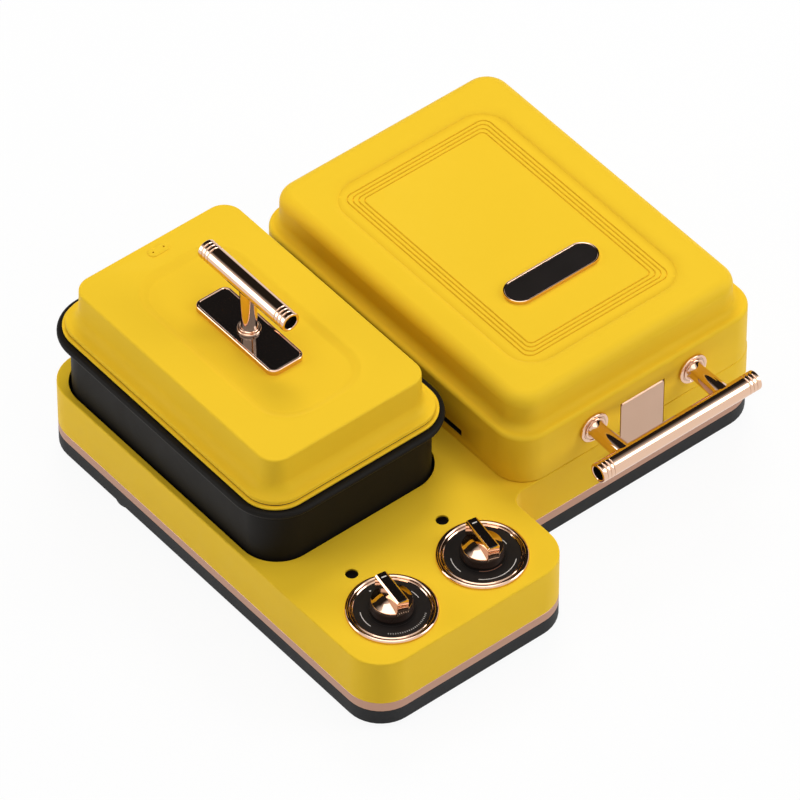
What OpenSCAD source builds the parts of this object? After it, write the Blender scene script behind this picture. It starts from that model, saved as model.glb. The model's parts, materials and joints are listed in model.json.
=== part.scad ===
// Countertop cooker with a pot station and a press station on one low L-shaped base.
// The pot with its domed lid lifts out on the left, and the hinged press stands on the right.
// Lengths are in millimetres. The front is -Y, and the feet stand on Z = 0.

/* [Base] */
// Width of the whole base
base_w = 331; // [305:1:360]
// Depth of the whole base
base_d = 300; // [275:1:330]
// Width of the left part, which reaches further forward
left_w = 144; // [142:1:146]
// Distance the right part is set back at the front
step_d = 57.6; // [56:0.2:58]
// Radius of the base's outer corners in plan
corner_r = 22.5; // [18:0.5:24]
// Radius of the inner corner between the two parts
notch_r = 9; // [6:1:12]
// Wall thickness of the housings
wall = 2.5; // [2:0.1:2.6]
// Height of the deck above the table
deck_z = 52.5; // [52:0.5:53.5]
// Height of the dark shell above the feet's soles
shell_z = 3.3; // [3:0.1:3.6]
// Height at which the copper band starts
band_z = 14.5; // [14:0.5:15]
// Height of the copper band
band_h = 6.4; // [5:0.2:7]
// Radius of the rubber feet
foot_r = 10.5; // [9:0.5:11]

/* [Pot station] */
// Distance between the left wall and the pot opening
pot_side_gap = 3.7; // [3.5:0.1:4.3]
// Distance between the back wall and the pot opening
pot_back_gap = 5.45; // [5.05:0.1:6.75]
// Distance between the pot opening and the left part's right edge
pot_inner_gap = 10.1; // [10.1:0.1:11.3]
// Depth of the deck in front of the pot opening, which holds the dials
dial_zone = 96.05; // [95.55:0.1:97.55]
// Corner radius of the pot opening
well_r = 23.8; // [22:0.2:26]
// Gap between the pot and the opening on each side
pot_gap = 1.8; // [1.2:0.1:2.2]
// Wall thickness of the pot
pot_wall = 2; // [1.6:0.1:2.4]
// Height of the pot's underside above the table
pot_z = 22.3; // [22.3:0.1:23]
// Height of the middle of the pot's rolled rim
rim_z = 93.6; // [92:0.2:93.6]
// Distance the rolled rim stands out from the pot wall
rim_out = 7.4; // [6.8:0.1:7.8]
// Radius of the rolled rim
rim_r = 2.3; // [2:0.1:2.3]

/* [Pot lid] */
// Height of the lid's top above the table
lid_z = 125.2; // [122:0.2:128]
// Corner radius of the lid's top in plan
lid_r = 12; // [11:0.5:13]
// Distance the lid's foot flares out from its top
lid_flare = 8.1; // [7.8:0.1:8.4]
// Distance the thin lip stands out beyond the flare
lip_out = 1.9; // [1.4:0.1:2.2]
// Height of the grip bar's axis above the lid
grip_h = 35.6; // [33:0.2:38]
// Length of the lid's grip bar
grip_l = 75.5; // [70:0.5:80]

/* [Press] */
// Distance between the left part's right edge and the press lid
press_left_gap = 5.6; // [5.2:0.1:6.6]
// Distance between the press lid and the right wall
press_right_gap = 2.4; // [2:0.1:3]
// Distance between the press lid and the back wall
press_back_gap = 7.6; // [7.2:0.1:8.4]
// Corner radius of the press lid's skirt in plan
press_r = 19.4; // [17:0.2:21]
// Height of the step around the press lid
shoulder_z = 87.6; // [86:0.2:88]
// Height of the press lid's top
press_top_z = 109.6; // [108.8:0.1:111]
// Inset of the raised plateau at the front and the sides
plateau_in = 7.4; // [7.2:0.1:8]
// Inset of the raised plateau at the back
plateau_back_in = 3; // [2.6:0.1:4]
// Radius of the plateau's soft top edge
plateau_edge_r = 11; // [9:0.5:12]
// Depth of the sunk panel on top
panel_d = 1.8; // [1.4:0.1:2]
// Height of the handle posts above the table
handle_z = 70.5; // [69:0.1:71]
// Distance of the bar's axis from the front wall
handle_out = 29.7; // [28:0.1:32]
// Distance the handle and the latch sit right of the press's middle
handle_dx = 1.4; // [0:0.2:2]
// Distance between the handle posts
post_pitch = 72.6; // [70:0.2:75]
// Length of the front handle's bar
handle_l = 116; // [112:1:119]
// Radius of both handle bars
bar_r = 6.05; // [5.6:0.05:6.4]

/* [Latch] */
// Width of the latch plate
latch_w = 31.6; // [30:0.2:33]
// Height of the latch plate's lower edge above the table
latch_z0 = 38.5; // [38:0.5:41]
// Height of the latch plate's pivot
latch_pivot_z = 72.1; // [71.5:0.1:72.5]
// Thickness of the latch plate
latch_t = 4; // [3.6:0.1:4.2]

/* [Controls] */
// Distance of the left dial's centre from the left wall
dial_from_left = 39.1; // [38:0.1:41]
// Distance between the two dials
dial_pitch = 64.7; // [62:0.1:66]
// Distance of the dials' centres from the front wall
dial_from_front = 33.2; // [32:0.1:35]
// Distance of the lamps from the front wall
lamp_from_front = 68.3; // [67:0.1:70]
// Outer radius of the dial rings
dial_ring_r = 26.2; // [25:0.1:27]
// Radius of the dial faces
dial_face_r = 21.5; // [20:0.1:22]
// Height of the knobs above the deck
knob_h = 18.6; // [17.5:0.1:20]
// Radius of the knobs' skirts
knob_r = 12.1; // [11:0.1:13]
// Radius of the lamp holes
lamp_r = 3.75; // [3.5:0.05:4]

/* [Hidden] */
$fn = 48;
eps = 0.01;

// Height of the band's top, and the two fits of the housings
band_top = band_z + band_h;
tongue_gap = 0.1;
tongue_t = 1.4;
tongue_rise = 4;
shell_floor = 2.2;
shell_edge = 2;
vent_slots = 7;
vent_slot_w = 4;
vent_slot_l = 90;
vent_slot_pitch = 16;

// Frame: the middle of the bounding box, with the pot's rim out at the left and the gland at the back
gland_out = 5;
well_w = left_w - pot_side_gap - pot_inner_gap;
well_l = base_d - dial_zone - pot_back_gap;
pot_from_left = pot_side_gap + well_w / 2;
rim_w = well_w - 2 * pot_gap + 2 * rim_out;
rim_beyond = rim_w / 2 - pot_from_left;
left_x = -(base_w + rim_beyond) / 2 + rim_beyond;
right_x = left_x + base_w;
front_y = -(base_d + gland_out) / 2;
back_y = front_y + base_d;
wall_y = front_y + step_d;

// Pot station
pot_x = left_x + pot_from_left;
pot_y = back_y - pot_back_gap - well_l / 2;
pot_w = well_w - 2 * pot_gap;
pot_l = well_l - 2 * pot_gap;
pot_r = well_r - pot_gap;
pot_floor = 2.5;
tub_t = 0.8;
tub_z = 9;
hotplate_in_x = 7.3;
hotplate_in_y = 8.45;
hotplate_w = pot_w - 2 * hotplate_in_x;
hotplate_l = pot_l - 2 * hotplate_in_y;
hotplate_r = 18;
hotplate_gap = 0.3;
hotplate_top = pot_z - hotplate_gap;
hotplate_t = 8;
hotplate_z = hotplate_top - hotplate_t;
leg_r = 5;
leg_in = 9;
leg_x = hotplate_w / 2 - leg_in;
leg_y = hotplate_l / 2 - leg_in;
tub_post_r = 6;
tub_clear = 0.5;
element_r = 3.4;
pot_element_in_x = 17;
pot_element_in_y = 19;
pot_element_w = hotplate_w - 2 * pot_element_in_x;
pot_element_l = hotplate_l - 2 * pot_element_in_y;
element_bend_r = 18;
pin_r = 1.8;
pot_pin_drop = 8;
sleeve_r = 9.6;
sleeve_seat_r = 10;
sleeve_floor = 1.2;
sleeve_z = 8;
probe_fit = 0.08;
probe_r = 8;
probe_cap_t = 3;
probe_skirt_t = 1.2;
probe_z = 14;
spring_r = 5.4;
spring_wire_r = 0.6;
spring_turns = 4;
spring_steps = 80;
spring_sides = 8;

// Pot lid, drawn from its top's corner centres outwards
lid_in_x = 7;
lid_in_y = 7.05;
lid_w = pot_w - 2 * lid_in_x;
lid_l = pot_l - 2 * lid_in_y;
lid_t = 2;
lip_t = 1.5;
seal_t = 0.7;
lip_gap = 0.3;
lip_z = rim_z + rim_r + lip_gap;
seal_z = lip_z + lip_t;
dome_z = seal_z + seal_t;
foot_rise = 2.8;
dome_draft = 0.4;
foot_x = lid_r + lid_flare;
cove_r = foot_x - lid_r - dome_draft;
seal_in = 0.5;
skirt_x = 13.4;
skirt_t = 2;
skirt_drop = 7.2;
dish_d = 0.8;
dish_in_x = 26.3;
dish_in_y = 24.4;
dish_w = lid_w - 2 * dish_in_x;
dish_l = lid_l - 2 * dish_in_y;
dish_r = 20;
plate_w = 24.2;
plate_l = 71.5;
plate_r = 5;
plate_border = 1.6;
plate_rise = 1.9;
border_rise = 2.3;
post_flange_r = 6.9;
post_flange_t = 2.6;
post_r1 = 4.6;
post_r2 = 5.2;
vent_w = 14;
vent_l = 6.5;
vent_t = 0.8;
vent_hole_r = 1.1;
vent_from_edge = 8.5;
lid_screw_r = 2;
lid_screw_head_r = 4.5;
lid_screw_head_t = 2.4;
lid_screw_l = 14;

// Press
press_w = base_w - left_w - press_left_gap - press_right_gap;
press_l = base_d - step_d - press_back_gap;
press_x = right_x - press_right_gap - press_w / 2;
press_y = wall_y + press_l / 2;
press_z = deck_z + 0.8;
press_back = wall_y + press_l;
plateau_w = press_w - 2 * plateau_in;
plateau_l = press_l - plateau_in - plateau_back_in;
plateau_dy = (plateau_in - plateau_back_in) / 2;
plateau_r = 19;
plateau_t = 3;
panel_in_x = 22.6;
panel_in_y = 22.7;
panel_w = plateau_w - 2 * panel_in_x;
panel_l = plateau_l - 2 * panel_in_y;
panel_r = 18;
panel_dy = 1.1;
panel_z = press_top_z - panel_d;
panel_t = 3.1;
groove_w = 0.8;
groove_d = 0.5;
groove_first = 7.2;
groove_step = 2.6;
groove_r = 5.5;
groove_r_step = 0.8;
grooves = 4;
open_in_x = 15;
open_in_y = 18.9;
open_w = press_w - 2 * open_in_x;
open_l = press_l - 2 * open_in_y;
open_r = 12.5;
basin_gap = 0.5;
basin_w = open_w - 2 * basin_gap;
basin_l = open_l - 2 * basin_gap;
basin_r = open_r - basin_gap;
plate_t = 2;
flange_over = 4.5;
flange_w = open_w + 2 * flange_over;
flange_l = open_l + 2 * flange_over;
flange_r = 16;
flange_t = 1.5;
lower_floor_z = 42;
upper_flange_z = deck_z + flange_t + 0.6;
upper_basin_h = 16;
rib_w = 3;
rib_h = 3;
rib_end = 12;
rib_first = 26;
ribs = 7;
rib_pitch = (basin_l - 2 * rib_first) / (ribs - 1);
liner_z = upper_flange_z + flange_t;
liner_t = 3;
liner_gap = 0.2;
press_element_in_x = 26.5;
press_element_in_y = 28.5;
press_element_w = open_w - 2 * press_element_in_x;
press_element_l = open_l - 2 * press_element_in_y;
press_pin_drop = 11;
lower_element_z = lower_floor_z - element_r - 0.1;
upper_element_z = upper_flange_z + upper_basin_h + element_r + 0.1;
tray_t = 0.8;
lower_tray_z = 29;
tray_over = 1.5;
tray_w = open_w + 2 * tray_over;
tray_l = open_l + 2 * tray_over;
tray_r = open_r + tray_over;
upper_tray_z = upper_element_z + element_r + 3;
screw_r = 2;
screw_head_r = 3.4;
screw_head_t = 2.2;
plate_screw_in_x = 34.5;
plate_screw_in_y = 14.5;
plate_screw_x = open_w / 2 - plate_screw_in_x;
plate_screw_y = open_l / 2 - plate_screw_in_y;
boss_in_x = 8.5;
boss_in_y = 11.4;
boss_x = press_w / 2 - boss_in_x;
boss_y = press_l / 2 - boss_in_y;
boss_r = 4.5;
boss_screw_r = 1.6;
boss_hole_d = 16;
boss_screw_l = 8;
shoulder_edge_r = 2;
side_recess_d = 1.6;
side_recess_h = 8;
side_recess_in = 49.4;
side_recess_l = press_l - 2 * side_recess_in;

// Front handle
front_flange_r = 9.7;
front_flange_t = 2.5;
front_post_r1 = 5;
front_post_r2 = 5.8;
bar_groove_d = 0.5;
bar_groove_w = 0.7;
bar_groove_first = 3;
bar_groove_step = 2.6;
bar_hollow_r = 4.3;
bar_hollow_d = 3.5;

// Badge
badge_w = 65;
badge_l = 19;
badge_border = 1;
badge_rise = 1.8;
badge_face_rise = 1.3;
badge_in = 50;
badge_dy = panel_dy - panel_l / 2 + badge_in;

// Latch
latch_gap = 0.5;
latch_back_gap = 0.4;
latch_proud = 0.2;
latch_top = latch_pivot_z + latch_t / 2;
latch_x = press_x + handle_dx;
latch_y = wall_y - latch_proud + latch_t / 2;
latch_pin_r = 1;
latch_pin_fit = 0.05;
latch_pin_in = 3;
pocket_w = latch_w + 2 * latch_gap;
pocket_d = latch_t - latch_proud + latch_back_gap;
pocket_block = 5;
pocket_back_t = 4.5;
pocket_foot = 6;
keeper_w = 20;
keeper_h = 5;
keeper_t = 1.2;
keeper_z = 42;

// Rear hinge
hinge_off = 4.8;
hinge_y = press_back + hinge_off;
hinge_rise = 5.5;
hinge_z = deck_z + hinge_rise;
hinge_in = 31.5;
hinge_x = press_w / 2 - hinge_in;
hinge_pin_r = 1.6;
hinge_fit = 0.05;
knuckle_r = 3.6;
knuckle_l = 14;
knuckle_gap = 0.4;
ear_t = 5;
ear_foot_w = 5.6;
arm_down = 2.5;
arm_up = 3.4;

// Controls
dial_x = left_x + dial_from_left;
dial_y = front_y + dial_from_front;
lamp_y = front_y + lamp_from_front;
ring_h = 2.1;
ring_edge_r = 1.6;
face_t = 1;
face_hole_r = 5;
shaft_hole_r = 4.5;
bush_r = 4.4;
shaft_r = 3;
shaft_fit = 0.05;
flange_nut_r = 8.8;
flange_nut_t = 2;
control_w = 34;
control_h = 14;
control_z = 30;
shaft_z0 = 38;
skirt_gap = 0.5;
skirt_z = deck_z + face_t + skirt_gap;
skirt_h = 5.8;
skirt_edge_r = 1;
cap_z = skirt_z + skirt_h;
cap_h = 4.4;
cap_in = 0.4;
grip_w = 7.4;
grip_len = 24.6;
inlay_w = 4.8;
inlay_t = 0.8;
knob_top = deck_z + knob_h;
pointer_turn = -9;
lens_fit = 0.05;
lens_t = 3.2;
lens_sink = 0.2;
board_over = 9.65;
board_w = dial_pitch + 2 * board_over;
board_l = 12;
board_t = 1.6;
board_z = 38;
bulb_r = 2.5;
bulb_h = 9;
board_peg_r = 2.5;
board_peg_x = 15;

// Electrics at the back
gland_from_left_part = 41;
gland_x = left_x + left_w + gland_from_left_part;
gland_z = 34;
gland_r = 7;
gland_flange_r = 10;
gland_bore_r = 3.6;
gland_in = 7;
gland_nut_r = 8.6;
gland_nut_t = 3;
terminal_w = 30;
terminal_l = 18;
terminal_h = 14;
terminal_in_x = 34.5;
terminal_in_y = 37.4;
terminal_screws = 3;

// Base screws and feet, as [x from the left wall, y from the front wall]
screw_spots = [[11, 58], [left_w - 16, 14], [left_w + 6, step_d + 32.4], [base_w - 9, step_d + 24.4],
    [base_w - 9, base_d - 24], [left_w + 6, base_d - 16]];
foot_spots = [[12, base_d - 69], [28, 28], [base_w - 28, step_d + 28.4], [base_w - 28, base_d - 28]];
screw_boss_r = 4.5;
base_screw_head_r = 3.6;
base_screw_head_t = 2.6;
base_screw_head_in = 0.9;
base_screw_head_z = shell_z + base_screw_head_in;
base_screw_top = 30;
screw_clear = 0.2;
shell_boss_r = 5.5;

// Plan shapes

module rounded(w, l, r) {
    square([w - 2 * r, l], center = true);
    square([w, l - 2 * r], center = true);
    for (x = [-1, 1], y = [-1, 1])
        translate([x * (w / 2 - r), y * (l / 2 - r)]) circle(r);
}

module slab(w, l, r, z0, z1) {
    translate([0, 0, z0]) linear_extrude(z1 - z0) rounded(w, l, r);
}

// The base's L shape, drawn in by the given amount
module base_plan(i) {
    left_l = base_d - 2 * i;
    right_w = base_w - left_w / 2;
    right_l = base_d - step_d - 2 * i;
    translate([left_x + left_w / 2, front_y + base_d / 2]) rounded(left_w - 2 * i, left_l, corner_r - i);
    translate([right_x - right_w / 2, wall_y + (base_d - step_d) / 2])
        rounded(right_w - 2 * i, right_l, corner_r - i);
    difference() {
        translate([left_x + left_w - i - eps, wall_y - notch_r]) square([notch_r + i + eps, notch_r + i + eps]);
        translate([left_x + left_w + notch_r, wall_y - notch_r]) circle(notch_r + i);
    }
}

module base_layer(i, z0, z1) {
    translate([0, 0, z0]) linear_extrude(z1 - z0) base_plan(i);
}

// Sweeps a profile around a rounded rectangle: the profile's x counts outwards from the corner centres
module around(w, l, r) {
    for (c = [[1, 1, 0], [-1, 1, 90], [-1, -1, 180], [1, -1, 270]])
        translate([c[0] * (w / 2 - r), c[1] * (l / 2 - r), 0]) rotate([0, 0, c[2]])
            rotate_extrude(angle = 90) children();
    for (a = [0, 180]) {
        rotate([0, 0, a]) translate([w / 2 - r, l / 2 - r, 0]) rotate([90, 0, 0])
            linear_extrude(l - 2 * r) children();
        rotate([0, 0, a + 90]) translate([l / 2 - r, w / 2 - r, 0]) rotate([90, 0, 0])
            linear_extrude(w - 2 * r) children();
    }
}

module core(w, l, r, z0, z1) {
    translate([r - w / 2, r - l / 2, z0]) cube([w - 2 * r, l - 2 * r, z1 - z0]);
}

// A rounded block whose top edge is rounded over by the radius e
module soft_block(w, l, r, z0, z1, e) {
    around(w, l, r) {
        translate([0, z0]) square([r, z1 - e - z0]);
        translate([0, z0]) square([r - e, z1 - z0]);
        intersection() {
            translate([r - e, z1 - e]) circle(e);
            translate([r - e - eps, z1 - e - eps]) square(e + eps);
        }
    }
    core(w, l, r, z0, z1);
}

// Moves to each station

module at_pot() { translate([pot_x, pot_y, 0]) children(); }
module at_press() { translate([press_x, press_y, 0]) children(); }
module at_spots(spots) {
    for (s = spots) translate([left_x + s[0], front_y + s[1], 0]) children();
}
module at_dial(n) { translate([dial_x + n * dial_pitch, dial_y, 0]) children(); }
module at_lamp(n) { translate([dial_x + n * dial_pitch, lamp_y, 0]) children(); }

module at_bosses() {
    for (x = [-boss_x, boss_x], y = [-boss_y, boss_y]) translate([x, y, 0]) children();
}
module at_latch_pin() { translate([latch_x, latch_y, latch_pivot_z]) rotate([0, 90, 0]) children(); }

module ring(r1, r2, z0, z1) {
    difference() {
        translate([0, 0, z0]) cylinder(r = r1, h = z1 - z0);
        translate([0, 0, z0 - 1]) cylinder(r = r2, h = z1 - z0 + 2);
    }
}

// A grip bar along Z with ring grooves and a hollow at each end
module grip_bar(l) {
    rotate_extrude() difference() {
        translate([0, -l / 2]) square([bar_r, l]);
        for (s = [-1, 1]) {
            for (i = [0:2])
                translate([bar_r - bar_groove_d, s * (l / 2 - bar_groove_first - i * bar_groove_step)
                    - bar_groove_w / 2]) square([bar_groove_d + 1, bar_groove_w]);
            translate([-1, s * l / 2 - bar_hollow_d]) square([bar_hollow_r + 1, 2 * bar_hollow_d]);
        }
    }
}

// A U-shaped heating element, open to the back, with a pin at each end that reaches up or down
module element(w, l, z, pin_reach) {
    run = l - element_bend_r;
    for (s = [-1, 1]) {
        translate([s * w / 2, l / 2 - run, z]) rotate([-90, 0, 0]) cylinder(r = element_r, h = run);
        translate([s * w / 2, l / 2 - element_r, z + min(pin_reach, 0)]) cylinder(r = pin_r, h = abs(pin_reach));
        translate([s * (w / 2 - element_bend_r), element_bend_r - l / 2, z])
            rotate([0, 0, s > 0 ? -90 : 180]) rotate_extrude(angle = 90)
                translate([element_bend_r, 0]) circle(element_r);
    }
    translate([element_bend_r - w / 2, -l / 2, z]) rotate([0, 90, 0])
        cylinder(r = element_r, h = w - 2 * element_bend_r);
}

module pin_holes(w, l, z) {
    for (s = [-1, 1]) translate([s * w / 2, l / 2 - element_r, z]) cylinder(r = 2 * pin_r, h = 4, center = true);
}

// Base

module latch_pocket(z0, z1) {
    translate([latch_x - pocket_w / 2, wall_y - 1, z0]) cube([pocket_w, pocket_d + 1, z1 - z0]);
}

module pocket_backing(z0, z1) {
    w = pocket_w + 2 * pocket_block;
    translate([latch_x - w / 2, wall_y + wall - eps, z0]) cube([w, pocket_d + pocket_back_t - wall, z1 - z0]);
}

module upper_housing() color("Goldenrod") difference() {
    union() {
        difference() {
            base_layer(0, band_top, deck_z);
            base_layer(wall, band_top - 1, deck_z - wall);
        }
        pocket_backing(band_top + pocket_foot, deck_z - wall + eps);
        for (x = [-board_peg_x, board_peg_x])
            translate([dial_x + dial_pitch / 2 + x, lamp_y, board_z + board_t])
                cylinder(r = board_peg_r, h = deck_z - wall - board_z - board_t + eps);
        at_spots(screw_spots) translate([0, 0, band_z]) cylinder(r = screw_boss_r, h = deck_z - wall - band_z);
    }
    at_pot() slab(well_w, well_l, well_r, deck_z - wall - 1, deck_z + 1);
    at_press() slab(open_w, open_l, open_r, deck_z - wall - 1, deck_z + 1);
    for (n = [0, 1]) {
        at_dial(n) translate([0, 0, deck_z - wall - 1]) cylinder(r = shaft_hole_r, h = wall + 2);
        at_lamp(n) translate([0, 0, deck_z - wall - 1]) cylinder(r = lamp_r, h = wall + 2);
    }
    at_spots(screw_spots) translate([0, 0, band_z - 1]) cylinder(r = screw_r, h = base_screw_top - band_z + 2);
    latch_pocket(latch_z0 - latch_gap, deck_z + 1);
    translate([latch_x - keeper_w / 2, wall_y, keeper_z]) cube([keeper_w, pocket_d + keeper_t, keeper_h]);
    translate([gland_x, back_y + 1, gland_z]) rotate([90, 0, 0]) cylinder(r = gland_r, h = wall + 2);
}

module trim_band() color("RosyBrown") difference() {
    base_layer(0, band_z, band_top);
    base_layer(wall, band_z - 1, band_top + 1);
}

module bottom_shell() color("DimGray") difference() {
    union() {
        difference() {
            union() {
                base_layer(0, shell_z + shell_edge, band_z);
                base_layer(shell_edge, shell_z, band_z);
            }
            base_layer(wall, shell_z + shell_floor, band_z + 1);
        }
        difference() {
            base_layer(wall + tongue_gap, shell_z + shell_floor, band_top + tongue_rise);
            base_layer(wall + tongue_gap + tongue_t, shell_z + shell_floor - 1, band_top + tongue_rise + 1);
            at_pot() slab(well_w + 2 * tub_t + 2 * tub_clear, well_l + 2 * tub_t + 2 * tub_clear,
                well_r + tub_t + tub_clear, tub_z - tub_clear, deck_z);
        }
        at_spots(screw_spots) translate([0, 0, shell_z]) cylinder(r = shell_boss_r, h = band_z - shell_z);
        at_pot() for (x = [-leg_x, leg_x], y = [-leg_y, leg_y])
            translate([x, y, shell_z]) cylinder(r = tub_post_r, h = tub_z - shell_z);
    }
    at_spots(screw_spots) {
        translate([0, 0, shell_z - 1]) cylinder(r = screw_r + screw_clear, h = band_z);
        translate([0, 0, shell_z - 1])
            cylinder(r = base_screw_head_r + screw_clear, h = base_screw_head_z + base_screw_head_t - shell_z + 1);
    }
    for (i = [0:vent_slots - 1])
        translate([press_x + (i - (vent_slots - 1) / 2) * vent_slot_pitch, press_y, shell_z])
            cube([vent_slot_w, vent_slot_l, 4 * shell_floor], center = true);
}

module feet() color("DarkSlateGray") at_spots(foot_spots) {
    cylinder(r = foot_r, h = shell_z);
}

module base_screws() color("Silver") at_spots(screw_spots) {
    translate([0, 0, base_screw_head_z]) cylinder(r = base_screw_head_r, h = base_screw_head_t);
    translate([0, 0, base_screw_head_z]) cylinder(r = screw_r, h = base_screw_top - base_screw_head_z);
}

// Pot station

module well_liner() color("Gray") at_pot() difference() {
    slab(well_w + 2 * tub_t, well_l + 2 * tub_t, well_r + tub_t, tub_z, deck_z - wall);
    slab(well_w, well_l, well_r, tub_z + tub_t, deck_z);
    translate([0, 0, tub_z - 1]) cylinder(r = sleeve_r, h = tub_t + 2);
    pin_holes(pot_element_w, pot_element_l, tub_z + tub_t / 2);
}

module pot_hotplate() color("LightSteelBlue") at_pot() difference() {
    union() {
        slab(hotplate_w, hotplate_l, hotplate_r, hotplate_z, hotplate_top);
        for (x = [-leg_x, leg_x], y = [-leg_y, leg_y])
            translate([x, y, tub_z + tub_t]) cylinder(r = leg_r, h = hotplate_z - tub_z - tub_t + eps);
    }
    translate([0, 0, hotplate_z - 1]) cylinder(r = sleeve_seat_r, h = hotplate_t + 2);
    element(pot_element_w, pot_element_l, hotplate_z, -pot_pin_drop);
}

module pot_element() color("SlateGray") at_pot()
    element(pot_element_w, pot_element_l, hotplate_z, -pot_pin_drop);

module probe_sleeve() color("Gainsboro") at_pot() {
    ring(sleeve_r, probe_r + probe_fit, sleeve_z, hotplate_top - 1);
    translate([0, 0, sleeve_z]) cylinder(r = sleeve_r, h = sleeve_floor);
}

module probe_plunger() color("Silver") at_pot() difference() {
    translate([0, 0, probe_z]) cylinder(r = probe_r, h = hotplate_top - probe_z);
    translate([0, 0, probe_z - 1])
        cylinder(r = probe_r - probe_skirt_t, h = hotplate_top - probe_cap_t - probe_z + 1);
}

// The spring's wire as one tube: rings of points along the helix, joined side by side
spring_z0 = sleeve_z + sleeve_floor + spring_wire_r;
spring_z1 = hotplate_top - probe_cap_t - spring_wire_r;
function spring_point(i, j) =
    let (turn = 360 * spring_turns * i / spring_steps, side = 360 * j / spring_sides)
    let (reach = spring_r + spring_wire_r * cos(side))
    let (rise = spring_z0 + (spring_z1 - spring_z0) * i / spring_steps)
    [reach * cos(turn), reach * sin(turn), rise + spring_wire_r * sin(side)];
spring_points = [for (i = [0:spring_steps], j = [0:spring_sides - 1]) spring_point(i, j)];
function spring_index(i, j) = i * spring_sides + j % spring_sides;
spring_sleeve = [for (i = [0:spring_steps - 1], j = [0:spring_sides - 1], half = [0, 1])
    half == 0 ? [spring_index(i, j), spring_index(i, j + 1), spring_index(i + 1, j + 1)]
    : [spring_index(i, j), spring_index(i + 1, j + 1), spring_index(i + 1, j)]];
spring_start = [for (j = [0:spring_sides - 1]) spring_index(0, spring_sides - 1 - j)];
spring_end = [for (j = [0:spring_sides - 1]) spring_index(spring_steps, j)];

module probe_spring() color("Gainsboro") at_pot()
    polyhedron(points = spring_points, faces = concat(spring_sleeve, [spring_start, spring_end]));

module pot() color("DarkSlateGray") at_pot() {
    difference() {
        slab(pot_w, pot_l, pot_r, pot_z, rim_z + 1);
        slab(pot_w - 2 * pot_wall, pot_l - 2 * pot_wall, pot_r - pot_wall, pot_z + pot_floor, rim_z + 2);
    }
    around(pot_w, pot_l, pot_r) {
        translate([pot_r - pot_wall / 2, rim_z - 1]) square([rim_out - rim_r + pot_wall / 2, 2]);
        translate([pot_r + rim_out - rim_r, rim_z]) circle(rim_r);
    }
}

// Pot lid

// The dome's half section, drawn in by the given amount
module dome_section(i) {
    translate([0, dome_z - (i > 0 ? 1 : 0)]) square([foot_x - i, foot_rise - i + (i > 0 ? 1 : 0)]);
    translate([0, dome_z]) square([lid_r + dome_draft - i, lid_z - i - dome_z]);
    difference() {
        translate([lid_r + dome_draft - i - eps, dome_z + foot_rise - i - eps])
            square([cove_r + eps, cove_r + i + eps]);
        translate([foot_x, dome_z + foot_rise + cove_r]) circle(cove_r + i);
    }
}

module pot_lid_shell() color("Gold") at_pot() difference() {
    union() {
        around(lid_w, lid_l, lid_r) dome_section(0);
        core(lid_w, lid_l, lid_r, dome_z, lid_z);
    }
    around(lid_w, lid_l, lid_r) dome_section(lid_t);
    core(lid_w, lid_l, lid_r, dome_z - 1, lid_z - lid_t);
    slab(dish_w, dish_l, dish_r, lid_z - dish_d, lid_z + 1);
    translate([0, 0, lid_z - 2 * lid_t]) cylinder(r = lid_screw_r, h = 3 * lid_t);
    vent_holes(lid_z - lid_t - 1, lid_z + 1);
}

module pot_lid_seal() color("SaddleBrown") at_pot() around(lid_w, lid_l, lid_r) {
    translate([skirt_x, seal_z]) square([foot_x - seal_in - skirt_x, seal_t]);
    translate([skirt_x, seal_z - skirt_drop]) square([skirt_t, skirt_drop + eps]);
}

module pot_lid_rim() color("Gold") at_pot() around(lid_w, lid_l, lid_r) {
    translate([skirt_x + skirt_t, lip_z]) square([foot_x + lip_out - skirt_x - skirt_t, lip_t]);
}

module vent_holes(z0, z1) {
    for (s = [-1, 1]) translate([s * (vent_w - vent_l) / 2, lid_l / 2 - vent_from_edge, z0])
        cylinder(r = vent_hole_r, h = z1 - z0);
}

module steam_vent() color("Goldenrod") at_pot() difference() {
    translate([0, lid_l / 2 - vent_from_edge, lid_z]) linear_extrude(vent_t)
        rounded(vent_w, vent_l, vent_l / 2 - eps);
    vent_holes(lid_z - 1, lid_z + vent_t + 1);
}

module handle_plate_rim() color("Tan") at_pot() difference() {
    slab(plate_w, plate_l, plate_r, lid_z - dish_d, lid_z - dish_d + border_rise);
    slab(plate_w - 2 * plate_border, plate_l - 2 * plate_border, plate_r - plate_border,
        lid_z - dish_d - 1, lid_z + border_rise);
}

module handle_plate() color("Black") at_pot() difference() {
    slab(plate_w - 2 * plate_border, plate_l - 2 * plate_border, plate_r - plate_border,
        lid_z - dish_d, lid_z - dish_d + plate_rise);
    translate([0, 0, lid_z - dish_d - 1]) cylinder(r = lid_screw_r, h = plate_rise + 2);
}

module lid_handle_post() color("Tan") at_pot() difference() {
    union() {
        translate([0, 0, lid_z - dish_d + plate_rise]) cylinder(r = post_flange_r, h = post_flange_t);
        translate([0, 0, lid_z - dish_d + plate_rise])
            cylinder(r1 = post_r1, r2 = post_r2, h = grip_h + dish_d - plate_rise);
    }
    translate([0, 0, lid_z + grip_h]) rotate([90, 0, 0]) cylinder(r = bar_r, h = grip_l, center = true);
    translate([0, 0, lid_z - 1]) cylinder(r = lid_screw_r, h = lid_screw_l - lid_t + 1);
}

module lid_handle_bar() color("Tan") at_pot()
    translate([0, 0, lid_z + grip_h]) rotate([90, 0, 0]) grip_bar(grip_l);

module lid_handle_screw() color("Silver") at_pot() {
    translate([0, 0, lid_z - lid_t - lid_screw_head_t]) cylinder(r = lid_screw_head_r, h = lid_screw_head_t);
    translate([0, 0, lid_z - lid_t - eps]) cylinder(r = lid_screw_r, h = lid_screw_l);
}

// Press station, fixed part

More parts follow.
